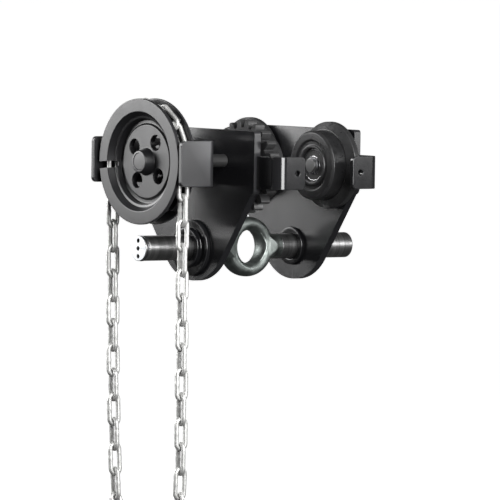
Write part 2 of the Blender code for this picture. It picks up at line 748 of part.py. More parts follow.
def guide_screw(name, end):
    """A hexagon screw through the guide and its spacer into the side plate."""
    seat = GUIDE_BACK - GUIDE_THICKNESS - GAP
    centre = (end * SPACER_X, 0, SPACER_Z)
    head = extrude(circle((0, 0), SCREW_HEAD_RADIUS, 6), seat - 4 * MM, seat)
    screw = place(name, head, BRIGHT_STEEL, centre)
    tip = -PLATE_INNER - GAP
    shank = extrude(circle((0, 0), SCREW_RADIUS, 12), seat - 1 * MM, tip)
    boolean(screw, place(f"{name}_shank", shank, BRIGHT_STEEL, centre), "UNION")


def smooth_route(points, step):
    """Points about a step apart on a Catmull-Rom curve through the given ones."""
    ends = [points[0] * 2 - points[1], *points, points[-1] * 2 - points[-2]]
    curve = [points[0]]
    for before, start, end, after in zip(ends, ends[1:], ends[2:], ends[3:]):
        count = max(1, round((end - start).length / step))
        for index in range(1, count + 1):
            t = index / count
            curve.append(
                0.5
                * (
                    2 * start
                    + (end - before) * t
                    + (2 * before - 5 * start + 4 * end - after) * t**2
                    + (3 * start - before - 3 * end + after) * t**3
                )
            )
    return curve


def chain_tube(name, points):
    """The space that the chain's links fill along a route."""
    curve = bpy.data.curves.new(name, "CURVE")
    curve.dimensions = "3D"
    curve.bevel_depth = CHAIN_RADIUS
    curve.bevel_resolution = 2
    curve.use_fill_caps = True
    spline = curve.splines.new("POLY")
    spline.points.add(len(points) - 1)
    for target, point in zip(spline.points, points):
        target.co = (*point, 1)
    curve.materials.append(material(f"{name}_zinc", *ZINC[1:]))
    obj = bpy.data.objects.new(name, curve)
    obj.location = (0, HANDWHEEL_FRONT + CHAIN_DEPTH, SHAFT_Z)
    bpy.context.scene.collection.objects.link(obj)


def hand_chain():
    """The endless chain, over the hand wheel and hanging down in one loop."""
    over = []
    for x, z in arc((0, 0), CHAIN_CIRCLE, 0, 180, 14):
        over.append(Vector((x, 0, z)))
    chain_tube("chain_on_wheel", over)
    loop = [Vector((x * MM, 0, z * MM)) for x, z in CHAIN_ROUTE]
    for end in (loop[0], loop[-1]):
        end.z = -CHAIN_JOINT
    chain_tube("chain_loop", smooth_route(loop, CHAIN_STEP))


def near_frame():
    side_plate("near_side_plate", NEAR, None)
    bar_bush("near_bar_bush", NEAR, None)
    for label, end in ENDS.items():
        axle(f"near_axle_{label}", NEAR, end, None)
        wheel_circlip(f"near_circlip_{label}", NEAR, end, None)
        bracket(f"near_bracket_{label}", NEAR, end, None)
        guide_spacer(f"guide_spacer_{label}", end)
        guide_screw(f"guide_screw_{label}", end)
    shaft_housing()
    shaft_bush("shaft_bush_front", HOUSING_FRONT + GAP, HOUSING_FRONT + 15 * MM)
    shaft_bush("shaft_bush_rear", -PLATE_INNER - 15 * MM, -PLATE_INNER - GAP)
    chain_guide()
    hand_chain()


def hand_drive():
    parent = axis_empty("handwheel_axis", (0, 0, SHAFT_Z))
    handwheel(parent)
    key_block("handwheel_key", 0, parent)
    drive_shaft(parent)
    drive_pinion(parent)


def bar_and_stop():
    parent = axis_empty("bar_axis", (0, 0, BAR_Z))
    load_bar(parent)
    stop_ring(parent)


def far_frame():
    parent = axis_empty("far_frame_slide", (0, PLATE_INNER, 0))
    side_plate("far_side_plate", FAR, parent)
    bar_bush("far_bar_bush", FAR, parent)
    for label, end in ENDS.items():
        axle(f"far_axle_{label}", FAR, end, parent)
        wheel_circlip(f"far_circlip_{label}", FAR, end, parent)
        bracket(f"far_bracket_{label}", FAR, end, parent)


def wheels():
    for row, side in SIDES.items():
        for label, end in ENDS.items():
            parent = axis_empty(f"{row}_wheel_axis_{label}", (end * WHEEL_X, 0, WHEEL_Z))
            wheel(f"{row}_wheel_{label}", side, end, parent)
            bearing(f"{row}_bearing_{label}", side, end, parent)


clear_scene()
near_frame()
hand_drive()
bar_and_stop()
far_frame()
wheels()
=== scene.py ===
"""The looks of the geared beam trolley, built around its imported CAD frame.

X runs along the beam, Y across it from the hand wheel's side, and Z up. Lengths are in
metres, and the shapes' own sizes are given in millimetres times MM.
"""

import json
import math

import bmesh
import bpy
from mathutils import Matrix, Vector


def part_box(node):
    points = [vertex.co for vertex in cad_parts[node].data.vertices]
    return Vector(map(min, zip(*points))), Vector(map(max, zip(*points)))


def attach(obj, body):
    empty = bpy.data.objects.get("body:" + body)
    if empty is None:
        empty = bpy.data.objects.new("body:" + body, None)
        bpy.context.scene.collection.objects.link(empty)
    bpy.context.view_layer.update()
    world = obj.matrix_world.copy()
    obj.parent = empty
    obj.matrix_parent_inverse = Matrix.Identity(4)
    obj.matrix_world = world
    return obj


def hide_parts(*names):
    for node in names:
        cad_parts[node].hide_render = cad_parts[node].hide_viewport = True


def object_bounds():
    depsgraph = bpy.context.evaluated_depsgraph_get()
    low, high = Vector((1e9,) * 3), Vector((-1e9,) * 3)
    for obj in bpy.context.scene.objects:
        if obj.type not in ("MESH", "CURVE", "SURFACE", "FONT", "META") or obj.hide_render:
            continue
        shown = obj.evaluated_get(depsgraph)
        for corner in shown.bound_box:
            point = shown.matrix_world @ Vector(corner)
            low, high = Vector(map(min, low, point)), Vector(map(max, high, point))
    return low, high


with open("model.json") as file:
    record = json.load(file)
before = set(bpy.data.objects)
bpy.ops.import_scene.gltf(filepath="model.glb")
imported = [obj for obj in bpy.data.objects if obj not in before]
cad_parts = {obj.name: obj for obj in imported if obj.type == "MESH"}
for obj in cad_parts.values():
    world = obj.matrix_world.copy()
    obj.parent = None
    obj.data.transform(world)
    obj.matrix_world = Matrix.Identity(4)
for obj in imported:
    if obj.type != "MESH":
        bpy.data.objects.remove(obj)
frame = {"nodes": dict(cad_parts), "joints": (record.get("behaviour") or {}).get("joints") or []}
CAD_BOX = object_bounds()

MM = 0.001
GAP = 0.3 * MM  # between pieces that touch on the real trolley
JOINTS = {joint["name"]: joint for joint in frame["joints"]}
SIDES = {"near": -1, "far": 1}
ENDS = {"left": -1, "right": 1}


def axis_of(joint):
    """Where a joint's axis along Y crosses the XZ plane."""
    x, _, z = JOINTS[joint]["pos_m"]
    return x, z


def span_of(node):
    """How far a node's nearest and furthest ends stand from the middle plane, along Y."""
    return sorted(abs(corner.y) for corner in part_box(node))


def sided(row, profile):
    """A turned profile drawn for the far side, moved to the row's own side."""
    return [(radius, SIDES[row] * y) for radius, y in profile]


SHAFT = axis_of("handwheel_spin")
BAR = axis_of("bar_turn")


# ---------------------------------------------------------------- camera

CAMERA_AZIMUTH = math.radians(50.775)
CAMERA_ELEVATION = math.radians(2.314)
CAMERA_ROLL = math.radians(-0.842)
CAMERA_DISTANCE = 18.95
CAMERA_LENS = 1349.4  # mm, on a sensor of 36 mm
AIM_RIGHT = 3.44 * MM  # from the origin to the middle of the view
AIM_DOWN = 52.6 * MM


def add_camera():
    """A long lens on the near right side, a little above the trolley."""
    data = bpy.data.cameras.new("camera")
    data.lens = CAMERA_LENS
    data.sensor_width = 36
    data.clip_start = 1
    data.clip_end = 400
    camera = bpy.data.objects.new("camera", data)
    bpy.context.scene.collection.objects.link(camera)
    level = math.cos(CAMERA_ELEVATION)
    across, toward = math.sin(CAMERA_AZIMUTH) * level, -math.cos(CAMERA_AZIMUTH) * level
    back = Vector((across, toward, math.sin(CAMERA_ELEVATION)))
    right = Vector((0, 0, 1)).cross(back).normalized()
    up = back.cross(right)
    turn = Matrix.Rotation(-CAMERA_ROLL, 3, back)
    right, up = turn @ right, turn @ up
    target = right * AIM_RIGHT - up * AIM_DOWN
    place = Matrix((right, up, back)).transposed().to_4x4()
    place.translation = target + back * CAMERA_DISTANCE
    camera.matrix_world = place
    bpy.context.scene.camera = camera


add_camera()


# ---------------------------------------------------------------- meshes


def polar(centre, radius, angle):
    """A point of a plane, from its distance and direction from a centre."""
    return centre[0] + radius * math.cos(angle), centre[1] + radius * math.sin(angle)


def arc(centre, radius, start, end, count):
    """Points from one angle to another, in degrees, with both ends."""
    points = []
    for step in range(count + 1):
        angle = math.radians(start + (end - start) * step / count)
        points.append(polar(centre, radius, angle))
    return points


def circle(centre, radius, count=48):
    return arc(centre, radius, 0, 360, count)[:-1]


def rounded(points, radius, steps=3, closed=True):
    """An outline with each corner of over 20 degrees replaced by a small curve."""
    result = []
    count = len(points)
    for index, point in enumerate(points):
        corner = Vector(point)
        if not closed and index in (0, count - 1):
            result.append(tuple(corner))
            continue
        before = Vector(points[index - 1]) - corner
        after = Vector(points[(index + 1) % count]) - corner
        if before.length < 1e-7 or after.length < 1e-7:
            continue
        bend = math.pi - before.angle(after)
        if bend < math.radians(20):
            result.append(tuple(corner))
            continue
        reach = min(radius * math.tan(bend / 2), before.length * 0.45, after.length * 0.45)
        start = corner + before.normalized() * reach
        end = corner + after.normalized() * reach
        for step in range(steps + 1):
            t = step / steps
            result.append(tuple(start * (1 - t) ** 2 + corner * 2 * t * (1 - t) + end * t**2))
    return result


def placed(name, data):
    obj = bpy.data.objects.new(name, data)
    bpy.context.scene.collection.objects.link(obj)
    return obj


def to_object(name, bm, recalculate=True):
    if recalculate:
        bmesh.ops.recalc_face_normals(bm, faces=bm.faces)
    mesh = bpy.data.meshes.new(name)
    bm.to_mesh(mesh)
    bm.free()
    return placed(name, mesh)


def bake_modifiers(obj):
    """Replaces an object's mesh by what its modifiers make of it."""
    graph = bpy.context.evaluated_depsgraph_get()
    mesh = bpy.data.meshes.new_from_object(obj.evaluated_get(graph))
    obj.modifiers.clear()
    obj.data = mesh


def shade(obj, angle=38):
    obj.data.shade_smooth()
    obj.data.set_sharp_from_angle(angle=math.radians(angle))
    weighted = obj.modifiers.new("weighted", "WEIGHTED_NORMAL")
    weighted.keep_sharp = True


def cut(obj, cutters, operation="DIFFERENCE"):
    """Cuts or joins solids, and removes the tools."""
    for cutter in cutters:
        modifier = obj.modifiers.new("cut", "BOOLEAN")
        modifier.operation = operation
        modifier.object = cutter
    bake_modifiers(obj)
    for cutter in cutters:
        bpy.data.objects.remove(cutter)


def bevel(obj, width, segments=3, angle=30):
    modifier = obj.modifiers.new("bevel", "BEVEL")
    modifier.width = width
    modifier.segments = segments
    modifier.limit_method = "ANGLE"
    modifier.angle_limit = math.radians(angle)
    modifier.use_clamp_overlap = True
    bake_modifiers(obj)


def skin(bm, rings, closed=True):
    """Faces between each ring of vertices and the next, and from the last to the first."""
    for ring, other in zip(rings, rings[1:] + rings[:1] * closed):
        for step, vert in enumerate(ring):
            after = (step + 1) % len(ring)
            corners = dict.fromkeys((vert, ring[after], other[after], other[step]))
            if len(corners) > 2:
                bm.faces.new(corners)


def turned(name, profile, centre=(0, 0), segments=64):
    """A solid turned around the Y axis through centre, from its (radius, y) points."""
    bm = bmesh.new()
    rings = []
    for radius, y in profile:
        if radius < 1e-7:
            rings.append([bm.verts.new((centre[0], y, centre[1]))] * segments)
            continue
        ring = []
        for step in range(segments):
            x, z = polar(centre, radius, math.tau * step / segments)
            ring.append(bm.verts.new((x, y, z)))
        rings.append(ring)
    skin(bm, rings, profile[0][0] > 1e-7)
    return to_object(name, bm)


def tube_section(bore, radius, low, high):
    return [(bore, low), (radius, low), (radius, high), (bore, high)]


def slab(name, outline, low, high, holes=(), axis="Y"):
    """A solid with this outline and these holes, from low to high along one axis."""
    bm = bmesh.new()
    for loop in (outline, *holes):
        verts = []
        for first, second in loop:
            point = (first, low, second) if axis == "Y" else (first, second, low)
            verts.append(bm.verts.new(point))
        for index, vert in enumerate(verts):
            bm.edges.new((vert, verts[index - 1]))
    bmesh.ops.triangle_fill(bm, edges=bm.edges, use_beauty=True, use_dissolve=False)
    result = bmesh.ops.extrude_face_region(bm, geom=bm.faces[:])
    moved = [item for item in result["geom"] if isinstance(item, bmesh.types.BMVert)]
    along = Vector((0, 1, 0)) if axis == "Y" else Vector((0, 0, 1))
    bmesh.ops.translate(bm, verts=moved, vec=along * (high - low))
    return to_object(name, bm)


def rod(name, start, end, radius, segments=32):
    """A plain round cutter between two points."""
    bm = bmesh.new()
    along = Vector(end) - Vector(start)
    turn = along.to_track_quat("Z", "Y").to_matrix().to_4x4()
    middle = Matrix.Translation((Vector(start) + Vector(end)) / 2)
    size = {"radius1": radius, "radius2": radius, "depth": along.length}
    bmesh.ops.create_cone(bm, cap_ends=True, segments=segments, matrix=middle @ turn, **size)
    return to_object(name, bm)


def join(name, parts):
    """One object from several closed ones."""
    bm = bmesh.new()
    for part in parts:
        bm.from_mesh(part.data)
        bpy.data.objects.remove(part)
    return to_object(name, bm, recalculate=False)


def rotate_by(obj, matrix):
    """Turns or mirrors a mesh about the origin."""
    obj.data.transform(matrix.to_4x4())
    if matrix.determinant() < 0:
        obj.data.flip_normals()


# ---------------------------------------------------------------- materials


class Nodes:
    """A small builder for one Principled material and its procedural textures."""

    def __init__(self, name):
        self.material = bpy.data.materials.new(name)
        self.material.use_nodes = True
        self.tree = self.material.node_tree
        self.shader = self.tree.nodes["Principled BSDF"]
        self.place = self.tree.nodes.new("ShaderNodeTexCoord").outputs["Object"]

    def fill(self, node, inputs):
        """Links or sets a node's inputs, which are named with underscores for spaces."""
        for key, value in inputs.items():
            socket = node.inputs[key.replace("_", " ")]
            if isinstance(value, bpy.types.NodeSocket):
                self.tree.links.new(value, socket)
            else:
                socket.default_value = value

    def add(self, kind, **inputs):
        node = self.tree.nodes.new("ShaderNode" + kind)
        self.fill(node, inputs)
        return node

    def stretched(self, scale):
        return self.add("Mapping", Vector=self.place, Scale=scale).outputs[0]

    def noise(self, scale, detail=4, rough=0.55, place=None):
        settings = {"Scale": scale, "Detail": detail, "Roughness": rough}
        return self.add("TexNoise", Vector=place or self.place, **settings).outputs["Fac"]

    def ramp(self, value, low, high, start=0.35, end=0.65):
        """A value or colour between low and high, as the input goes from start to end."""
        if isinstance(low, tuple):
            node = self.add("ValToRGB", Fac=value)
            first, last = node.color_ramp.elements
            first.position, last.position = start, end
            first.color, last.color = (*low, 1), (*high, 1)
            return node.outputs["Color"]
        ends = {"From_Min": start, "From_Max": end, "To_Min": low, "To_Max": high}
        return self.add("MapRange", Value=value, **ends).outputs["Result"]

    def mix(self, share, first, second):
        """A colour from the first to the second, as the share goes from 0 to 1."""
        node = self.tree.nodes.new("ShaderNodeMix")
        node.data_type = "RGBA"
        self.tree.links.new(share, node.inputs["Factor"])
        for socket, value in ((node.inputs[6], first), (node.inputs[7], second)):
            if isinstance(value, tuple):
                socket.default_value = (*value, 1)
            else:
                self.tree.links.new(value, socket)
        return node.outputs[2]

    def edges(self, start=0.52, end=0.6):
        """Near 1 on outer edges, near 0 on flat and inner surfaces."""
        pointed = self.tree.nodes.new("ShaderNodeNewGeometry").outputs["Pointiness"]
        return self.ramp(pointed, 0.0, 1.0, start, end)

    def bump(self, *layers):
        """Stacks (height, strength, distance) layers into the shader's normal."""
        normal = None
        for height, strength, distance in layers:
            node = self.add("Bump", Height=height, Strength=strength, Distance=distance)
            if normal:
                self.tree.links.new(normal, node.inputs["Normal"])
            normal = node.outputs["Normal"]
        self.tree.links.new(normal, self.shader.inputs["Normal"])

    def set(self, **inputs):
        self.fill(self.shader, inputs)
        return self.material

    def metal(self, base, patches, dull, bright, metallic=1.0):
        rough = self.ramp(patches, dull, bright)
        return self.set(Base_Color=base, Roughness=rough, Metallic=metallic)


def paint(name, colour, edge_colour, gloss, peel):
    """Paint over steel: a faint orange peel, and edges painted lighter, partly wear and partly a
    painted highlight.
    """
    make = Nodes(name)
    cloud = make.noise(26, 5)
    shade_colour = make.ramp(cloud, colour, tuple(c * 1.3 for c in colour))
    # edges painted lighter: partly rubbed wear, partly a painted highlight along them
    edge_lightened = make.mix(make.edges(), shade_colour, edge_colour)
    fine = make.noise(420, 3)
    make.bump((fine, peel, 0.00012), (make.noise(2600, 2), peel * 0.5, 0.00004))
    return make.metal(edge_lightened, make.noise(60, 3), gloss * 0.95, gloss * 1.1, 0.0)


def casting(name, colour, light, roughness, metallic, grain=0.35):
    """Sand-cast metal: a fine pitted skin, with lighter metal where it is rubbed."""
    make = Nodes(name)
    cloud = make.ramp(make.noise(70, 6), colour, tuple(c * 1.8 for c in colour))
    edge_lightened = make.mix(make.edges(0.51, 0.6), cloud, light)
    make.bump((make.noise(900, 5), grain, 0.0003), (make.noise(180, 3), grain * 0.6, 0.0006))
    return make.metal(edge_lightened, make.noise(240, 4), roughness * 0.8, roughness * 1.2, metallic)


def turned_steel(name, dark, light, roughness):
    """Steel with the lathe's fine rings around the Y axis."""
    make = Nodes(name)
    rings = make.noise(1, 4, 0.6, make.stretched((6, 3600, 6)))
    broad = make.noise(1, 3, 0.5, make.stretched((9, 420, 9)))
    stain = make.noise(45, 6)
    base = make.ramp(broad, dark, light, 0.3, 0.7)
    base = make.mix(make.ramp(stain, 0.0, 0.4, 0.5, 0.75), base, tuple(c * 0.6 for c in dark))
    rough = make.ramp(rings, roughness * 0.75, roughness * 1.3, 0.3, 0.7)
    make.bump((rings, 0.35, 0.00006), (broad, 0.14, 0.0001))
    return make.set(Base_Color=base, Roughness=rough, Metallic=1.0)


def forged(name, dark, light, roughness):
    """Hot forged and blasted steel, mottled, with a soft uneven skin."""
    make = Nodes(name)
    base = make.ramp(make.noise(55, 7, 0.65), dark, light, 0.3, 0.7)
    # edges painted up to three times the light colour: a painted highlight on the forging's rims
    base = make.mix(make.edges(0.505, 0.56), base, tuple(c * 3 for c in light))
    make.bump((make.noise(110, 4), 0.35, 0.0008), (make.noise(1100, 4), 0.3, 0.00015))
    return make.metal(base, make.noise(150, 4), roughness * 0.8, roughness * 1.25)


def plated(name, dark, light, roughness):
    """Zinc plating: faint mottling, and the hollows painted darker as painted shade."""
    make = Nodes(name)
    base = make.ramp(make.noise(320, 5, 0.6), dark, light, 0.3, 0.7)
    # hollows painted darker: painted shade inside and between the links
    base = make.mix(make.edges(0.49, 0.54), tuple(c * 0.7 for c in dark), base)
    make.bump((make.noise(1500, 4), 0.25, 0.0001), (make.noise(260, 3), 0.25, 0.0003))
    return make.metal(base, make.noise(700, 3), roughness * 0.8, roughness * 1.3, 0.7)


RECIPES = (
    (paint, "black_paint", (0.007, 0.007, 0.008), (0.05, 0.05, 0.052), 0.24, 0.06),
    (paint, "gloss_paint", (0.004, 0.004, 0.0045), (0.04, 0.04, 0.042), 0.14, 0.03),
    # a rougher copy of the black paint, its darker colours a painted shade for the guide's
    # spacers
    (paint, "matt_paint", (0.006, 0.006, 0.006), (0.02, 0.02, 0.02), 0.6, 0.06),
    (paint, "guide_paint", (0.012, 0.012, 0.013), (0.06, 0.06, 0.063), 0.34, 0.08),
    (paint, "handwheel_finish", (0.009, 0.009, 0.01), (0.07, 0.07, 0.073), 0.33, 0.1),
    (casting, "grey_casting", (0.012, 0.012, 0.0125), (0.1, 0.1, 0.1), 0.34, 0.3),
    (turned_steel, "dark_steel", (0.2, 0.2, 0.2), (0.36, 0.36, 0.36), 0.34),
    (turned_steel, "bar_steel", (0.17, 0.17, 0.17), (0.36, 0.36, 0.36), 0.36),
    (forged, "forged_steel", (0.11, 0.123, 0.117), (0.21, 0.229, 0.22), 0.46),
    (turned_steel, "bright_steel", (0.5, 0.5, 0.51), (0.7, 0.7, 0.71), 0.24),
    (turned_steel, "spring_steel", (0.16, 0.16, 0.17), (0.3, 0.3, 0.31), 0.36),
    (turned_steel, "bronze", (0.42, 0.27, 0.12), (0.58, 0.4, 0.2), 0.38),
    (plated, "zinc", (0.42, 0.42, 0.41), (0.68, 0.68, 0.67), 0.48),
    (casting, "seal", (0.012, 0.012, 0.013), (0.03, 0.03, 0.03), 0.6, 0.0, 0.1),
    (casting, "end_face", (0.5, 0.52, 0.54), (0.8, 0.82, 0.84), 0.5, 0.1, 0.2),
)
FINISHES = {name: recipe(name, *values) for recipe, name, *values in RECIPES}
dict.fromkeys(("gloss_paint", "matt_paint", "guide_paint"), "black_paint")


def finish_as(obj, finish):
    obj.data.materials.clear()
    obj.data.materials.append(FINISHES[finish])


def put(obj, body, finish, nodes=(), angle=38):
    """Finishes a piece: its material, smooth shading, its body and what it stands for."""
    finish_as(obj, finish)
    shade(obj, angle)
    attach(obj, body)
    if nodes:
        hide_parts(*nodes)
    return obj


def finish_end(obj, level, finish):
    """Gives another finish to the faces at an object's near end."""
    obj.data.materials.append(FINISHES[finish])
    for face in obj.data.polygons:
        if face.normal.y < -0.9 and face.center.y < level + 0.5 * MM:
            face.material_index = 1


# ---------------------------------------------------------------- hand chain

CHAIN_Y = (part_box("chain_loop")[0].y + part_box("chain_loop")[1].y) / 2
CHAIN_CIRCLE = 56 * MM
CHAIN_PITCH = 25 * MM
FIRST_LINK = 2.1 * MM  # along the loop from where the left strand leaves the wheel
LOOP_LINKS = 33
WHEEL_LINKS = 7
WIRE = 2.4 * MM  # the wire's radius
WIRE_SIDES = 14
STRAIGHT_STEPS = 8
BEND_STEPS = 9
WELD_SWELL = 0.13
WELD_REACH = 1.3 * MM
LINK_HALF_WIDTH = 5.05 * MM  # of the wire's centreline
STRAND_TWIST = math.radians(8)
TWIST_REACH = 90 * MM  # from the wheel to where a strand is fully twisted
TWIST_TURNOVER = 60 * MM  # the same, from the loop's middle
# The route from left to right, in millimetres from the shaft, in the plane of the chain.
LEFT_STRAND = ((-56, 0), (-55.5, -60), (-54, -130), (-52, -200), (-49, -265), (-46.5, -303.5))
LEFT_BEND = ((-44.5, -331.5), (-40.5, -351.5), (-29.5, -368), (-13, -379), (6.5, -383))
RIGHT_BEND = ((26, -379), (42.5, -368), (53.5, -351.5), (57.5, -331.5), (58.5, -303.5))
RIGHT_STRAND = ((58.5, -265), (58, -200), (57, -130), (56.5, -60), (56, 0))
CHAIN_ROUTE = LEFT_STRAND + LEFT_BEND + RIGHT_BEND + RIGHT_STRAND


def smooth_route(points, step):
    """Points about a step apart on a Catmull-Rom curve through the given ones."""
    ends = [points[0] * 2 - points[1], *points, points[-1] * 2 - points[-2]]
    curve = [points[0]]
    for before, start, end, after in zip(ends, ends[1:], ends[2:], ends[3:]):
        count = max(1, round((end - start).length / step))
        for index in range(1, count + 1):
            t = index / count
            point = 2 * start + (end - before) * t
            point += (2 * before - 5 * start + 4 * end - after) * t**2
            point += (3 * start - before - 3 * end + after) * t**3
            curve.append(0.5 * point)
    return curve


class Route:
    """A line of points that can be read at any distance along it."""

    reach = 4 * MM  # each way, for its direction

    def __init__(self, points):
        self.points = points
        self.reached = [0.0]
        for start, end in zip(points, points[1:]):
            self.reached.append(self.reached[-1] + (end - start).length)
        self.length = self.reached[-1]

    def at(self, distance):
        """The point at a distance; past either end, the line runs straight on."""
        for index, reached in enumerate(self.reached[1:]):
            if distance <= reached or index == len(self.points) - 2:
                start, end = self.points[index : index + 2]
                share = (distance - self.reached[index]) / (end - start).length
                return start.lerp(end, share)

    def along(self, distance):
        ahead = self.at(min(self.length, distance + self.reach))
        return (ahead - self.at(max(0, distance - self.reach))).normalized()


def link(bm, centre, along, across):
    """One welded link: a round wire bent to a long ring, with a small weld on one side."""
    half_length = CHAIN_PITCH / 2 + WIRE
    straight = half_length - LINK_HALF_WIDTH
    path = []
    for side in (1, -1):
        for step in range(STRAIGHT_STEPS):
            share = step / STRAIGHT_STEPS
            path.append((side * (share * 2 - 1) * straight, -side * LINK_HALF_WIDTH))
        for step in range(BEND_STEPS):
            u, v = polar((straight, 0), LINK_HALF_WIDTH, math.pi * (step / BEND_STEPS - 0.5))
            path.append((side * u, side * v))
    normal = along.cross(across)
    rings = []
    for index, (u, v) in enumerate(path):
        before, after = path[index - 1], path[(index + 1) % len(path)]
        forward = Vector((after[0] - before[0], after[1] - before[1])).normalized()
        outward = Vector((forward.y, -forward.x))
        on_weld_side = v < -LINK_HALF_WIDTH * 0.9
        swell = WELD_SWELL * math.exp(-((u / WELD_REACH) ** 2)) if on_weld_side else 0
        radius = WIRE * (1 + swell)
        ring = []
        for step in range(WIRE_SIDES):
            angle = math.tau * step / WIRE_SIDES
            spread = math.cos(angle) * radius
            point = centre + along * (u + outward.x * spread) + across * (v + outward.y * spread)
            ring.append(bm.verts.new(point + normal * math.sin(angle) * radius))
        rings.append(ring)
    skin(bm, rings)


def twist_at(distance, length):
    """How far the chain is turned on itself: none at the wheel, opposite on the strands."""
    from_wheel = min(distance, length - distance, TWIST_REACH) / TWIST_REACH
    turn = max(-1, min(1, (length / 2 - distance) / TWIST_TURNOVER))
    return STRAND_TWIST * from_wheel * turn


def hand_chain():
    """The endless chain: links over the hand wheel, and the loop that hangs from it."""
    shaft = Vector((SHAFT[0], CHAIN_Y, SHAFT[1]))
    points = [shaft + Vector((x * MM, 0, z * MM)) for x, z in CHAIN_ROUTE]
    route = Route(smooth_route(points, 2 * MM))
    bm = bmesh.new()
    for index in range(LOOP_LINKS):
        distance = FIRST_LINK + index * CHAIN_PITCH
        along = route.along(distance)
        inward = Vector((0, 1, 0)).cross(along)
        twist = twist_at(distance, route.length)
        if index % 2 == 0:
            twist += math.pi / 2
        across = inward * math.cos(twist) + Vector((0, 1, 0)) * math.sin(twist)
        link(bm, route.at(distance), along, across)
    loop = put(to_object("hanging_chain", bm), "near_frame", "zinc", ["chain_loop"], 60)
    start = FIRST_LINK - CHAIN_PITCH / 2
    steps = [start + index * CHAIN_PITCH / 10 for index in range(LOOP_LINKS * 10 + 1)]
    tuple(route.at(start))
    [tuple(route.at(distance)) for distance in steps]
    bm = bmesh.new()
    for index in range(1, WHEEL_LINKS + 1):
        angle = math.pi - (index * CHAIN_PITCH - FIRST_LINK) / CHAIN_CIRCLE
        outward = Vector((math.cos(angle), 0, math.sin(angle)))
        along = Vector((-math.sin(angle), 0, math.cos(angle)))
        across = outward if index % 2 == 1 else Vector((0, 1, 0))
        link(bm, shaft + outward * CHAIN_CIRCLE, along, across)
    put(to_object("chain_over_wheel", bm), "near_frame", "zinc", ["chain_on_wheel"], 60)


hand_chain()


# ---------------------------------------------------------------- frame plates

PLATE_SHOULDER = 8 * MM
SHOULDER_TOP = 40 * MM  # where its curve is drawn from
SHOULDER_CURVE = 8 * MM
PLATE_FOOT_RADIUS = 53.5 * MM
PLATE_CORNER = 3 * MM
SHEET_EDGE = 0.7 * MM  # the bevel on plates and brackets
BUSH_HOLE_RADIUS = 19.3 * MM
HOUSING_HOLE_RADIUS = 13.7 * MM
SCREW_HOLE_RADIUS = 3.3 * MM
STRIP_CORNER = 5 * MM
BRACKET = (5 * MM, 12 * MM)  # thickness, and the bend's outer radius
BUFFER_HOLE = (41 * MM, 2.8 * MM)  # distance from the middle plane, and radius
WELD_SIZE = (2.6 * MM, 1.1 * MM)  # half its width, and its height
WELD_STEPS, WELD_SIDES = 40, 10
BUSH_PROFILE = ((13.2, 0), (20, 0), (20, 5), (28.5, 5), (28.5, 9.7), (19, 9.7))
# Above, in millimetres: radius, and depth behind the bush's outer end.


def centre_of(node):
    low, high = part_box(node)
    return (low + high) / 2


def side_plate(row):
    """A flame-cut plate with a straight top and a round foot, its edges slightly broken."""
    low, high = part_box(f"{row}_side_plate")
    foot_z = low.z + PLATE_FOOT_RADIUS
    across = math.hypot(high.x, PLATE_SHOULDER - foot_z)
    rise = math.degrees(math.atan2(PLATE_SHOULDER - foot_z, high.x))
    touch = rise - math.degrees(math.acos(PLATE_FOOT_RADIUS / across))
    corner_x, corner_z = high.x - PLATE_CORNER, high.z - PLATE_CORNER
    shoulder = [(high.x, SHOULDER_TOP), (high.x, PLATE_SHOULDER), (0, foot_z)]
    shoulder = rounded(shoulder, SHOULDER_CURVE, 5, closed=False)[1:-1]
    outline = arc((corner_x, corner_z), PLATE_CORNER, 0, 90, 6)
    outline += arc((-corner_x, corner_z), PLATE_CORNER, 90, 180, 6)
    outline += [(-x, z) for x, z in shoulder]
    outline += arc((0, foot_z), PLATE_FOOT_RADIUS, -180 - touch, touch, 48)
    outline += reversed(shoulder)
    holes = [circle(BAR, BUSH_HOLE_RADIUS, 64)]
    if row == "near":
        holes.append(circle(SHAFT, HOUSING_HOLE_RADIUS, 48))
        for label in ENDS:
            spot = centre_of(f"guide_screw_{label}")
            holes.append(circle((spot.x, spot.z), SCREW_HOLE_RADIUS, 24))
    plate = slab(f"{row}_plate", outline, low.y, high.y, holes)
    bevel(plate, SHEET_EDGE)
    put(plate, f"{row}_frame", "black_paint", [f"{row}_side_plate"])


def bracket(row, label):
    """A strip bent round, with rounded tips and the buffer's screw hole."""
    node = f"{row}_bracket_{label}"
    low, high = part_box(node)
    start, outer = sorted((abs(low.x), abs(high.x)))
    reach, front = span_of(node)
    thick, bend = BRACKET
    outline = [(start, -front)]
    outline += arc((outer - bend, bend - front), bend, -90, 0, 24)
    outline += [(outer, -reach), (outer - thick, -reach)]
    inner = bend - thick
    outline += arc((outer - thick - inner, thick - front + inner), inner, 0, -90, 16)
    outline.append((start, thick - front))
    strip = slab("strip", outline, low.z, high.z, axis="Z")
    round_tips(strip, low.z, high.z, -reach)
    spot = (-BUFFER_HOLE[0], (low.z + high.z) / 2)
    drill = rod("drill", (outer - 20 * MM, *spot), (outer + 5 * MM, *spot), BUFFER_HOLE[1])
    cut(strip, [drill])
    bevel(strip, SHEET_EDGE)
    strip.name = f"{row}_buffer_bracket_{label}"
    rotate_by(strip, Matrix.Diagonal((ENDS[label], -SIDES[row], 1)))
    put(strip, f"{row}_frame", "gloss_paint", [node])
    weld(row, label, start, front - thick, low.z, high.z)


def round_tips(strip, low, high, tip):
    """Rounds the corners of a strip's free ends, which stand at this y."""
    for level in (low, high):
        bm = bmesh.new()
        bm.from_mesh(strip.data)
        edges = []
        for edge in bm.edges:
            ends = [vert.co for vert in edge.verts]
            if all(abs(co.y - tip) < 1e-5 and abs(co.z - level) < 1e-5 for co in ends):
                edges.append(edge)
        bmesh.ops.bevel(
            bm, geom=edges, offset=STRIP_CORNER, segments=8, affect="EDGES", profile=0.5
        )
        bm.to_mesh(strip.data)
        bm.free()


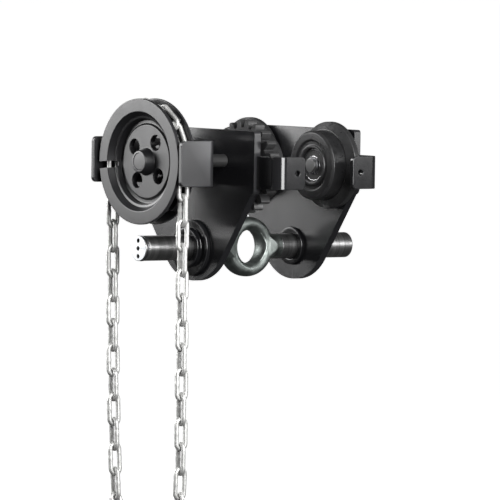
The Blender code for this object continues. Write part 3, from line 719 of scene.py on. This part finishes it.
def weld(row, label, x, y, low, high):
    """The bead that joins a bracket to its plate, on the side of the beam."""
    side, end = SIDES[row], ENDS[label]
    bm = bmesh.new()
    rings = []
    for step in range(WELD_STEPS + 1):
        share = step / WELD_STEPS
        z = low + 1 * MM + (high - low - 2 * MM) * share
        swell = 1 + 0.1 * math.sin(share * 60) + 0.06 * math.sin(share * 23 + 1)
        fade = min(1, share * 12, (1 - share) * 12) ** 0.5
        ring = []
        for turn in range(WELD_SIDES + 1):
            angle = math.pi * turn / WELD_SIDES
            width = WELD_SIZE[0] * swell * fade * math.cos(angle)
            height = WELD_SIZE[1] * swell * fade * math.sin(angle)
            ring.append(bm.verts.new((end * (x + width), side * (y - height + 0.1 * MM), z)))
        rings.append(ring)
    skin(bm, rings, False)
    bm.faces.new(rings[0])
    bm.faces.new(rings[-1])
    put(to_object(f"{row}_weld_{label}", bm), f"{row}_frame", "black_paint")


def bar_bush(row):
    """The threaded bush in the plate's foot, with its stepped flange outside."""
    node = f"{row}_bar_bush"
    inner, outer = span_of(node)
    profile = [(radius * MM, outer - depth * MM) for radius, depth in BUSH_PROFILE]
    profile += [(BUSH_PROFILE[-1][0] * MM, inner), (BUSH_PROFILE[0][0] * MM, inner)]
    bush = turned(f"{row}_bush", sided(row, rounded(profile, 1 * MM)), BAR, 96)
    put(bush, f"{row}_frame", "gloss_paint", [node])


# ---------------------------------------------------------------- shaft housing

HOUSING = (11.4 * MM, 17 * MM, 24 * MM, 13.4 * MM)  # radii: bore, tube, flange, spigot
HOUSING_FLANGE = 5 * MM
SLEEVE = (8.85 * MM, 11.1 * MM)


def shaft_parts():
    """The flanged tube that the shaft runs in, and a bronze sleeve in each of its ends."""
    low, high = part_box("shaft_housing")
    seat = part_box("near_side_plate")[0].y - GAP
    face = seat - HOUSING_FLANGE
    bore, tube, flange, spigot = HOUSING
    profile = [(bore, low.y), (tube, low.y), (tube, face), (flange, face), (flange, seat)]
    profile += [(spigot, seat), (spigot, high.y), (bore, high.y)]
    housing = turned("shaft_tube", rounded(profile, 1.2 * MM), SHAFT, 72)
    put(housing, "near_frame", "black_paint", ["shaft_housing"])
    for label in ("front", "rear"):
        low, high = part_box(f"shaft_bush_{label}")
        profile = rounded(tube_section(*SLEEVE, low.y, high.y), 0.5 * MM)
        bush = turned(f"sleeve_{label}", profile, SHAFT, 48)
        put(bush, "near_frame", "bronze", [f"shaft_bush_{label}"])


# ---------------------------------------------------------------- chain guide

GUIDE = (4.5 * MM, 8 * MM)  # thickness, and the bends' outer radius
GUIDE_HOLE = 17.3 * MM
SPACER = (3.3 * MM, 6.5 * MM)
SCREW = (3 * MM, 5.8 * MM, 4 * MM)  # shank's radius, head's radius and height


def chain_guide():
    """The bent strip around the hand wheel, with its spacers and screws."""
    low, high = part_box("chain_guide")
    thick, bend = GUIDE
    wide = high.x
    corner = high.y - bend
    small = bend - thick
    outline = [(wide - thick, low.y), (wide, low.y)]
    outline += arc((wide - bend, corner), bend, 0, 90, 14)
    outline += arc((bend - wide, corner), bend, 90, 180, 14)
    outline += [(-wide, low.y), (thick - wide, low.y)]
    outline += arc((bend - wide, corner), small, 180, 90, 8)
    outline += arc((wide - bend, corner), small, 90, 0, 8)
    strip = slab("guide", outline, low.z, high.z, axis="Z")
    round_tips(strip, low.z, high.z, low.y)
    screws = [centre_of(f"guide_screw_{label}") for label in ENDS]
    holes = [((0, SHAFT[1]), GUIDE_HOLE, 64)]
    holes += [((screw.x, screw.z), SCREW_HOLE_RADIUS, 32) for screw in screws]
    cutters = []
    for (x, z), radius, segments in holes:
        front, back = (x, high.y - 15 * MM, z), (x, high.y + 5 * MM, z)
        cutters.append(rod("hole", front, back, radius, segments))
    cut(strip, cutters)
    bevel(strip, 0.6 * MM)
    strip.name = "guide_strip"
    put(strip, "near_frame", "guide_paint", ["chain_guide"])
    for label in ENDS:
        spacer_and_screw(label)


def spacer_and_screw(label):
    low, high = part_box(f"guide_spacer_{label}")
    spot = ((low.x + high.x) / 2, (low.z + high.z) / 2)
    profile = rounded(tube_section(*SPACER, low.y, high.y), 0.6 * MM)
    spacer = turned(f"spacer_{label}", profile, spot, 40)
    # the spacer's darker, rougher paint stands in for the shade it sits in: painted shade
    put(spacer, "near_frame", "matt_paint", [f"guide_spacer_{label}"])
    low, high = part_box(f"guide_screw_{label}")
    radius, head, height = SCREW
    top = slab("head", circle(spot, head, 6), low.y, low.y + height)
    bevel(top, 0.5 * MM, 2)
    start = low.y + height - 1 * MM
    shank = [(0, start), (radius, start), (radius, high.y), (0, high.y)]
    stem = turned("stem", rounded(shank, 0.4 * MM, closed=False), spot, 32)
    screw = join(f"hex_screw_{label}", [top, stem])
    put(screw, "near_frame", "bright_steel", [f"guide_screw_{label}"])


# ---------------------------------------------------------------- hand wheel

WHEEL_RADIUS = 63.5 * MM
BORE_RADIUS = 8.8 * MM
HALF_GROOVE = 7.9 * MM
HALF_SLOT = 3.3 * MM
SLOT_FLOOR = 46.5 * MM
POCKET_FLOOR = 53.2 * MM
TOOTH_TOP = 59.6 * MM
TOOTH_HALF_ANGLE = math.radians(6.2)
TOOTH_FLANK = math.radians(4.5)
TEETH = 7
STEPS_PER_TOOTH = 30
GROOVE_LIP = 0.8 * MM
GROOVE_SHOULDER = 50 * MM  # below the floor
WEB_HOLE_CIRCLE = 24 * MM
WEB_HOLE_ANGLE = 53.5
RIM_SLOT_ANGLE = 185
RIM_SLOT = (43 * MM, 80 * MM, 3.5 * MM)  # from the shaft, to past the rim, half its width
# In the next three, millimetres: radius, and depth behind the wheel's front.
DISH_PROFILE = ((10.8, 0), (13.7, 10), (36.9, 10), (38.6, 12), (42.4, 12), (43.6, 6.2))
RIM_PROFILE = ((46.2, 5.6), (50.4, 0), (63.5, 0))
WEB_HOLE_PROFILE = ((0, 5), (9.1, 5), (9.1, 9.3), (7.5, 10.7), (7.5, 15.3), (8.6, 16.6))


def pocket_floor(angle):
    """The groove's land: low under each flat link, and a tooth beside each upright one."""
    first = math.pi - (CHAIN_PITCH - FIRST_LINK) / CHAIN_CIRCLE
    pitch = math.tau / TEETH
    away = abs((angle - first + pitch / 2) % pitch - pitch / 2)
    share = max(0.0, min(1.0, (away - TOOTH_HALF_ANGLE) / TOOTH_FLANK))
    share = share * share * (3 - 2 * share)
    return TOOTH_TOP + (POCKET_FLOOR - TOOTH_TOP) * share


def wheel_section(front, back, hub_end):
    """The section's heights and depths, with names for heights that change around it."""
    groove_front, groove_back = CHAIN_Y - HALF_GROOVE, CHAIN_Y + HALF_GROOVE
    face = [(BORE_RADIUS, front)]
    face += [(radius * MM, front + depth * MM) for radius, depth in DISH_PROFILE + RIM_PROFILE]
    face += [(WHEEL_RADIUS, groove_front), (GROOVE_SHOULDER, groove_front)]
    rear = [(GROOVE_SHOULDER, groove_back), (WHEEL_RADIUS, groove_back), (WHEEL_RADIUS, back)]
    rear += [(40 * MM, back), (37 * MM, front + 16 * MM), (14 * MM, front + 16 * MM)]
    rear += [(13 * MM, hub_end), (BORE_RADIUS, hub_end)]
    half = [("wall", HALF_GROOVE), ("land", HALF_GROOVE - GROOVE_LIP)]
    half += [("land", HALF_SLOT + GROOVE_LIP), ("lip", HALF_SLOT)]
    half.append(("slot", HALF_SLOT - GROOVE_LIP / 2))
    floor = [(height, CHAIN_Y - y) for height, y in half]
    floor += [(height, CHAIN_Y + y) for height, y in reversed(half)]
    face = rounded(face, 1.1 * MM, 3, False)[:-1]
    return [*face, *floor, *rounded(rear, 1.1 * MM, 3, False)[1:]]


def handwheel():
    """The pocket wheel: a dished disc, a chain groove with pockets, and a slotted rim."""
    low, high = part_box("handwheel")
    front = low.y
    back = high.y - 2.5 * MM
    rises = {"wall": GROOVE_LIP, "land": 0, "lip": -GROOVE_LIP}
    bm = bmesh.new()
    segments = TEETH * STEPS_PER_TOOTH
    rings = []
    for height, y in wheel_section(front, back, high.y):
        ring = []
        for step in range(segments):
            angle = math.tau * step / segments
            radius = SLOT_FLOOR if height == "slot" else height
            if height in rises:
                radius = pocket_floor(angle) + rises[height]
            x, z = polar(SHAFT, radius, angle)
            ring.append(bm.verts.new((x, y, z)))
        rings.append(ring)
    skin(bm, rings)
    disc = to_object("pocket_wheel", bm)
    cutters = []
    for quarter in range(4):
        spot = polar(SHAFT, WEB_HOLE_CIRCLE, math.radians(WEB_HOLE_ANGLE + 90 * quarter))
        hole = [(radius * MM, front + depth * MM) for radius, depth in WEB_HOLE_PROFILE]
        hole += [(WEB_HOLE_PROFILE[-1][0] * MM, back), (0, back)]
        cutters.append(turned("web_hole", rounded(hole, 0.6 * MM, 3, False), spot, 48))
    start, end, half = RIM_SLOT
    outline = rounded([(start, -half), (end, -half), (end, half), (start, half)], 2 * MM)
    slot = slab("slot", outline, front - 4 * MM, CHAIN_Y - 2 * MM)
    rotate_by(slot, Matrix.Rotation(math.radians(-RIM_SLOT_ANGLE), 3, "Y"))
    slot.data.transform(Matrix.Translation((SHAFT[0], 0, SHAFT[1])))
    cutters.append(slot)
    cut(disc, cutters)
    put(disc, "hand_drive", "handwheel_finish", ["handwheel"], 32)


# ---------------------------------------------------------------- gears and wheels

SHAFT_RADIUS = 8.5 * MM
CLIP_GROOVE = 1.8 * MM  # its width; it is 1 mm deep
CLIP_WIDTH = 1.2 * MM
GEAR_WIDTH = 11.5 * MM
MODULE = 4 * MM
PINION_TEETH = 10
GEAR_TEETH = 22
PRESSURE_ANGLE = math.radians(20)
PINION_ADDENDUM = 3.6 * MM
GEAR_ADDENDUM = 3.3 * MM
DEDENDUM = 4.9 * MM
BACKLASH = 0.45 * MM
PINION_PHASE = math.radians(8.7)
FLANK_STEPS = 4
TREAD_RADIUS = 35 * MM
FLANGE_RADIUS = 44 * MM
BEARING_SEAT = 17.5 * MM
BEARING_END = 54 * MM  # from the middle plane, where the bearing's seat stops
RACES = ((7.3 * MM, 9.6 * MM), (14.6 * MM, 17.2 * MM))
SEAL = (9.55 * MM, 14.65 * MM)
AXLE_RADIUS = 7 * MM
AXLE_SHOULDER = 9.5 * MM
RIVET_DEPTH = 7.7 * MM  # the axle's end in the plate, behind the CAD's


def drive_shaft():
    low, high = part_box("drive_shaft")
    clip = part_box("near_wheel_left")[0].y + GEAR_WIDTH + 1 * MM
    radius, neck = SHAFT_RADIUS, SHAFT_RADIUS - 1 * MM
    profile = [(0, low.y), (radius, low.y), (radius, clip), (neck, clip)]
    profile += [(neck, clip + CLIP_GROOVE), (radius, clip + CLIP_GROOVE), (radius, high.y)]
    profile.append((0, high.y))
    shaft = turned("shaft", rounded(profile, 0.5 * MM, 2, False), SHAFT, 64)
    put(shaft, "hand_drive", "dark_steel", ["drive_shaft"])
    finish_end(shaft, low.y, "handwheel_finish")
    ends = (clip + GAP, clip + GAP + CLIP_WIDTH)
    circlip("pinion_clip", SHAFT, 7.8 * MM, ends, "hand_drive", "pinion_circlip")


def involute(angle):
    return math.tan(angle) - angle


def gear_outline(teeth, addendum, phase, centre):
    """A spur gear's outline with rounded tips and roots, as a casting has."""
    pitch = teeth * MODULE / 2
    base = pitch * math.cos(PRESSURE_ANGLE)
    root, tip = pitch - DEDENDUM, pitch + addendum
    half_tooth = (math.pi * MODULE / 2 - BACKLASH) / 2 / pitch + involute(PRESSURE_ANGLE)
    flank = [(root, half_tooth + 0.4 * MM / root)]
    start = max(root + 0.6 * MM, base)
    for step in range(FLANK_STEPS + 1):
        radius = start + (tip - start) * step / FLANK_STEPS
        flank.append((radius, half_tooth - involute(math.acos(min(1, base / radius)))))
    outline = []
    for tooth in range(teeth):
        middle = phase + math.tau * tooth / teeth
        for sign, points in ((-1, flank), (1, reversed(flank))):
            outline += [polar(centre, radius, middle + sign * half) for radius, half in points]
    return rounded(outline, 0.9 * MM, 3)


def gear_phase(label):
    """The angle of a gear's tooth, so that a gap takes the pinion's tooth at rest."""
    end = ENDS[label]
    x, z = axis_of(f"near_wheel_{label}_spin")
    slope = -end * math.atan2(SHAFT[1] - z, abs(x))
    turned_back = (PINION_PHASE - slope) * PINION_TEETH / GEAR_TEETH
    toward_pinion = math.pi if end > 0 else 0
    return toward_pinion + slope - turned_back + math.pi / GEAR_TEETH


def drive_pinion():
    low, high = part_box("drive_pinion")
    outline = gear_outline(PINION_TEETH, PINION_ADDENDUM, PINION_PHASE, SHAFT)
    pinion = slab("pinion", outline, low.y, high.y, [circle(SHAFT, BORE_RADIUS)])
    bevel(pinion, 0.7 * MM, 3, 40)
    put(pinion, "hand_drive", "grey_casting", ["drive_pinion"])


def wheel(row, label):
    """A trolley wheel, its bearing with two seals, its axle and its circlip."""
    node = f"{row}_wheel_{label}"
    centre = axis_of(f"{node}_spin")
    inner, outer = span_of(node)
    step = outer - GEAR_WIDTH
    seat = step + 0.8 * MM
    tread = [(BEARING_SEAT, seat), (TREAD_RADIUS, seat), (TREAD_RADIUS, inner + 2 * MM)]
    tread += [(33 * MM, inner), (26 * MM, inner), (24.5 * MM, inner + 1.6 * MM)]
    tread += [(21 * MM, inner + 1.6 * MM), (20 * MM, inner), (BEARING_SEAT, inner)]
    if row == "near":
        outline = gear_outline(GEAR_TEETH, GEAR_ADDENDUM, gear_phase(label), centre)
        rim = slab("rim", outline, -outer, -step, [circle(centre, BEARING_SEAT, 64)])
        bevel(rim, 0.8 * MM, 3, 40)
        body = turned("tread", sided(row, rounded(tread, 0.8 * MM)), centre, 96)
        piece = join(f"geared_wheel_{label}", [rim, body])
    else:
        flange = [(12 * MM, outer), (26 * MM, outer), (29 * MM, outer - 1 * MM)]
        flange += [(38 * MM, outer - 1 * MM), (40 * MM, outer), (FLANGE_RADIUS, outer)]
        flange += [(FLANGE_RADIUS, outer - 6 * MM), (36 * MM, step), *tread[1:]]
        flange += [(BEARING_SEAT, BEARING_END), (12 * MM, BEARING_END)]
        profile = sided(row, rounded(flange, 0.9 * MM))
        piece = turned(f"flanged_wheel_{label}", profile, centre, 96)
    put(piece, node, "grey_casting", [node])
    bearing(row, label, centre)
    axle(row, label, centre)


def bearing(row, label, centre):
    """A ball bearing's two races, and the dark seals between them."""
    node, body = f"{row}_bearing_{label}", f"{row}_wheel_{label}"
    inner, outer = span_of(node)
    parts = []
    for first, last in RACES:
        ring = rounded(tube_section(first, last, inner, outer), 0.5 * MM)
        parts.append(turned("race", sided(row, ring), centre, 72))
    put(join(f"{row}_races_{label}", parts), body, "bright_steel", [node])
    seals = []
    for start in (inner + 0.5 * MM, outer - 1.5 * MM):
        ring = tube_section(*SEAL, start, start + 1 * MM)
        seals.append(turned("seal", sided(row, ring), centre, 72))
    seal = join(f"{row}_seals_{label}", seals)
    finish_as(seal, "seal")
    shade(seal)
    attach(seal, body)


def axle(row, label, centre):
    """A pin with a shoulder, riveted and painted over in the plate, and its circlip."""
    inner, outer = span_of(f"{row}_axle_{label}")
    plate = outer - RIVET_DEPTH
    clip = span_of(f"{row}_circlip_{label}")[0] - GAP
    radius, neck = AXLE_RADIUS, AXLE_RADIUS - 1 * MM
    profile = [(0, inner), (radius, inner), (radius, clip), (neck, clip)]
    profile += [(neck, clip + CLIP_GROOVE), (radius, clip + CLIP_GROOVE), (radius, BEARING_END)]
    profile += [(AXLE_SHOULDER, BEARING_END), (AXLE_SHOULDER, plate), (0, plate)]
    profile = sided(row, rounded(profile, 0.5 * MM, 2, False))
    pin = turned(f"{row}_pin_{label}", profile, centre, 48)
    body = f"{row}_frame"
    put(pin, body, "dark_steel", [f"{row}_axle_{label}"])
    ends = [SIDES[row] * y for y in (clip + GAP, clip + GAP + CLIP_WIDTH)]
    circlip(f"{row}_clip_{label}", centre, 6.3 * MM, ends, body, f"{row}_circlip_{label}")


def circlip(name, centre, inner, ends, body, node):
    """An open spring ring, deeper opposite its mouth, with two eyes for the pliers."""
    mouth, count = 24, 40
    outer = []
    for step in range(count + 1):
        angle = -90 + mouth + (360 - 2 * mouth) * step / count
        depth = 2.0 * MM + 0.8 * MM * (0.5 + 0.5 * math.sin(math.radians(angle)))
        lug = max(0, 1 - min(step, count - step) / 4) * 1.4 * MM
        outer.append(polar(centre, inner + depth + lug, math.radians(angle)))
    ring = outer + arc(centre, inner, 270 - mouth, -90 + mouth, count)
    holes = []
    for sign in (-1, 1):
        spot = polar(centre, inner + 1.9 * MM, math.radians(-90 + sign * (mouth + 8)))
        holes.append(circle(spot, 0.7 * MM, 16))
    clip = slab(name, ring, min(ends), max(ends), holes)
    bevel(clip, 0.12 * MM, 2)
    put(clip, body, "spring_steel", [node])


# ---------------------------------------------------------------- load bar

BAR_RADIUS = 12.75 * MM
LUG_RADIUS = 12.6 * MM
LUG_LENGTH = 34 * MM
LUG_TIP = 30.3 * MM
LUG_SWELL = (13.8 * MM, 25 * MM)  # radius, and distance from the middle
LUG_ROOT = (16.5 * MM, 16.5 * MM)
LUG_OVERLAP = (4 * MM, 8 * MM)  # how far the bar and the lugs run into one another
FLAT_END = 16.5 * MM
FLAT_DEPTH = 9 * MM
FLAT_RUN_OUT = 13.05 * MM
CLEAR = 30 * MM  # past the forging's sides
EYE_HOLE_RADIUS = 16.5 * MM
EYE_RADIUS = 30.4 * MM
EYE_HALF_THICKNESS = 10.5 * MM
SECTION_POWER = 0.85
MOUTH_POWER = 0.67
MOUTH_CLEARANCE = (0.6 * MM, 0.8 * MM)  # outside the ring's own hole, and at its sides
REMESH_STEP = 0.6 * MM
STOP_RING = (11.1 * MM, 13.05 * MM)
STOP_GROOVE = (10.6 * MM, 1.2 * MM)  # radius, and half its width
END_HOLES = (2.3 * MM, 7.9 * MM, 6 * MM)  # radius, pitch, depth


def signed_power(value, power):
    return math.copysign(abs(value) ** power, value)


def true_hole(eye, middle, half_width):
    """Puts the faceted surface inside the eye's hole back on the ring's own section."""
    power = 2 / SECTION_POWER
    for vertex in eye.data.vertices:
        x, y, z = vertex.co - Vector((BAR[0], 0, BAR[1]))
        reach = math.hypot(y, z)
        across, along = (reach - middle) / half_width, x / EYE_HALF_THICKNESS
        size = (abs(across) ** power + abs(along) ** power) ** (1 / power)
        share = min(1, max(0, -4 * across)) * min(1, max(0, (1.05 - size) / 0.03))
        if share:
            across += share * (across / size - across)
            scale = (middle + half_width * across) / reach
            x += share * (x / size - x)
            vertex.co = (BAR[0] + x, y * scale, BAR[1] + z * scale)


def turned_across(name, profile, segments):
    """A solid turned around the line along X through the bar's middle."""
    obj = turned(name, profile, (0, 0), segments)
    obj.data.transform(Matrix.Rotation(math.pi / 2, 4, "Z"))
    obj.data.transform(Matrix.Translation((BAR[0], 0, BAR[1])))
    return obj


def forging():
    """The eye and its two lugs, forged from the bar and run together by soft fillets."""
    end = LUG_LENGTH + LUG_OVERLAP[1]
    lug = [LUG_ROOT, LUG_SWELL, (LUG_RADIUS, LUG_LENGTH), (LUG_RADIUS, end), (0, end)]
    core = [(radius, -y) for radius, y in reversed(lug)] + lug
    body = turned("forged_eye", core, BAR, 96)
    far = 80 * MM
    quarter = [(FLAT_DEPTH, FLAT_END), (FLAT_RUN_OUT, LUG_TIP), (CLEAR, LUG_LENGTH), (CLEAR, far)]
    flats = quarter + [(-x, y) for x, y in reversed(quarter)]
    flats += [(-x, -y) for x, y in quarter] + [(x, -y) for x, y in reversed(quarter)]
    keep = slab("flats", flats, BAR[1] - 45 * MM, BAR[1] + 45 * MM, axis="Z")
    cut(body, [keep], "INTERSECT")
    middle = (EYE_HOLE_RADIUS + EYE_RADIUS) / 2
    half_width = (EYE_RADIUS - EYE_HOLE_RADIUS) / 2
    section = []
    for step in range(28):
        angle = math.tau * step / 28
        across = signed_power(math.cos(angle), SECTION_POWER)
        along = signed_power(math.sin(angle), SECTION_POWER)
        section.append((middle + half_width * across, EYE_HALF_THICKNESS * along))
    ring = turned_across("ring", section, 120)
    mouth = [(0, -CLEAR), (middle, -CLEAR)]
    for step in range(25):
        angle = math.pi * (step / 24 - 0.5)
        across = (half_width - MOUTH_CLEARANCE[0]) * abs(math.cos(angle)) ** MOUTH_POWER
        along = signed_power(math.sin(angle), MOUTH_POWER)
        mouth.append((middle - across, (EYE_HALF_THICKNESS + MOUTH_CLEARANCE[1]) * along))
    mouth += [(middle, CLEAR), (0, CLEAR)]
    cut(body, [turned_across("hole", mouth, 96)])
    cut(body, [ring], "UNION")
    remesh = body.modifiers.new("remesh", "REMESH")
    remesh.mode = "VOXEL"
    remesh.voxel_size = REMESH_STEP
    smooth = body.modifiers.new("smooth", "SMOOTH")
    smooth.factor = 0.5
    smooth.iterations = 8
    bake_modifiers(body)
    true_hole(body, middle, half_width)
    return body


def load_bar():
    """The bar's two round ends, the forging between them, and the ring that stops it."""
    low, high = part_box("load_bar")
    ring_low, ring_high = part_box("bar_stop_ring")
    groove = (ring_low.y + ring_high.y) / 2
    neck, half = STOP_GROOVE
    start, end = groove - half, groove + half
    inside = LUG_LENGTH + LUG_OVERLAP[0]
    near = [(0, low.y), (BAR_RADIUS, low.y), (BAR_RADIUS, start), (neck, start), (neck, end)]
    near += [(BAR_RADIUS, end), (BAR_RADIUS, -inside), (0, -inside)]
    shank = turned("near_shank", rounded(near, 0.8 * MM, 3, False), BAR, 96)
    radius, pitch, depth = END_HOLES
    start, end = low.y - 2 * MM, low.y + depth
    drill = [(0, start), (radius, start), (radius, end), (0, end + 1 * MM)]
    spots = [(BAR[0], BAR[1] + step * pitch) for step in (-1, 0, 1)]
    cut(shank, [turned("drill", drill, spot, 32) for spot in spots])
    far = [(0, inside), (BAR_RADIUS, inside), (BAR_RADIUS, high.y), (0, high.y)]
    stem = turned("far_shank", rounded(far, 1.6 * MM, 4, False), BAR, 96)
    eye = forging()
    put(shank, "load_bar", "bar_steel")
    put(stem, "load_bar", "bar_steel")
    put(eye, "load_bar", "forged_steel", ["load_bar"], 60)
    finish_end(shank, low.y, "end_face")
    half = (ring_high.y - ring_low.y) / 2
    profile = rounded(tube_section(*STOP_RING, groove - half, groove + half), 0.35 * MM)
    stop = turned("stop_ring", profile, BAR, 96)
    put(stop, "bar_stop", "spring_steel", ["bar_stop_ring"])


# ---------------------------------------------------------------- studio

FLOOR_DROP = 60 * MM  # below the hand chain
FLOOR_RADIUS = 80
SKY = 0.07  # its strength as a light; the camera sees it white
LIT_AT = (0, 0, -0.02)


def area_light(name, place, size, power):
    """A rectangular lamp aimed at the trolley, which the camera doesn't see."""
    data = bpy.data.lights.new(name, "AREA")
    data.shape = "RECTANGLE"
    data.size, data.size_y = size
    data.energy = power
    lamp = placed(name, data)
    lamp.location = place
    lamp.visible_camera = False
    lamp.rotation_mode = "QUATERNION"
    lamp.rotation_quaternion = (Vector(LIT_AT) - Vector(place)).to_track_quat("-Z", "Y")


def studio():
    """A pale floor under a pale sky, a soft box at the front left and strips at the sides."""
    scene = bpy.context.scene
    scene.view_settings.view_transform = "Standard"
    world = bpy.data.worlds.new("studio")
    world.use_nodes = True
    tree = world.node_tree
    background = tree.nodes["Background"]
    seen = tree.nodes.new("ShaderNodeLightPath").outputs["Is Camera Ray"]
    level = tree.nodes.new("ShaderNodeMapRange")
    level.inputs["To Min"].default_value = SKY
    level.inputs["To Max"].default_value = 1
    tree.links.new(seen, level.inputs["Value"])
    tree.links.new(level.outputs["Result"], background.inputs["Strength"])
    background.inputs["Color"].default_value = (1, 1, 1, 1)
    scene.world = world
    bm = bmesh.new()
    bmesh.ops.create_circle(bm, cap_ends=True, segments=96, radius=FLOOR_RADIUS)
    floor = to_object("floor", bm, recalculate=False)
    floor.location.z = CAD_BOX[0].z - FLOOR_DROP
    make = Nodes("pale_floor")
    grain = make.ramp(make.noise(3, 3), (0.8, 0.8, 0.8), (0.84, 0.84, 0.84))
    glow = {"Emission_Color": (1, 1, 1, 1), "Emission_Strength": 0.95}
    floor.data.materials.append(make.set(Base_Color=grain, Roughness=0.8, **glow))
    floor.visible_glossy = False
    floor.visible_diffuse = False
    area_light("front_left", (-1.24, -1.01, 0.5), (1.5, 1.1), 44)
    area_light("right", (1.36, -0.32, 0.45), (0.7, 1.2), 46)
    area_light("back_right", (1.1, 0.92, 0.2), (0.9, 0.35), 7)
    area_light("overhead", (0.2, -0.2, 1.6), (1.2, 1.2), 1.5)


for row_name in SIDES:
    side_plate(row_name)
    bar_bush(row_name)
    for label_name in ENDS:
        bracket(row_name, label_name)
        wheel(row_name, label_name)
shaft_parts()
chain_guide()
handwheel()
drive_shaft()
drive_pinion()
load_bar()
finish_as(frame["nodes"]["handwheel_key"], "dark_steel")
studio()
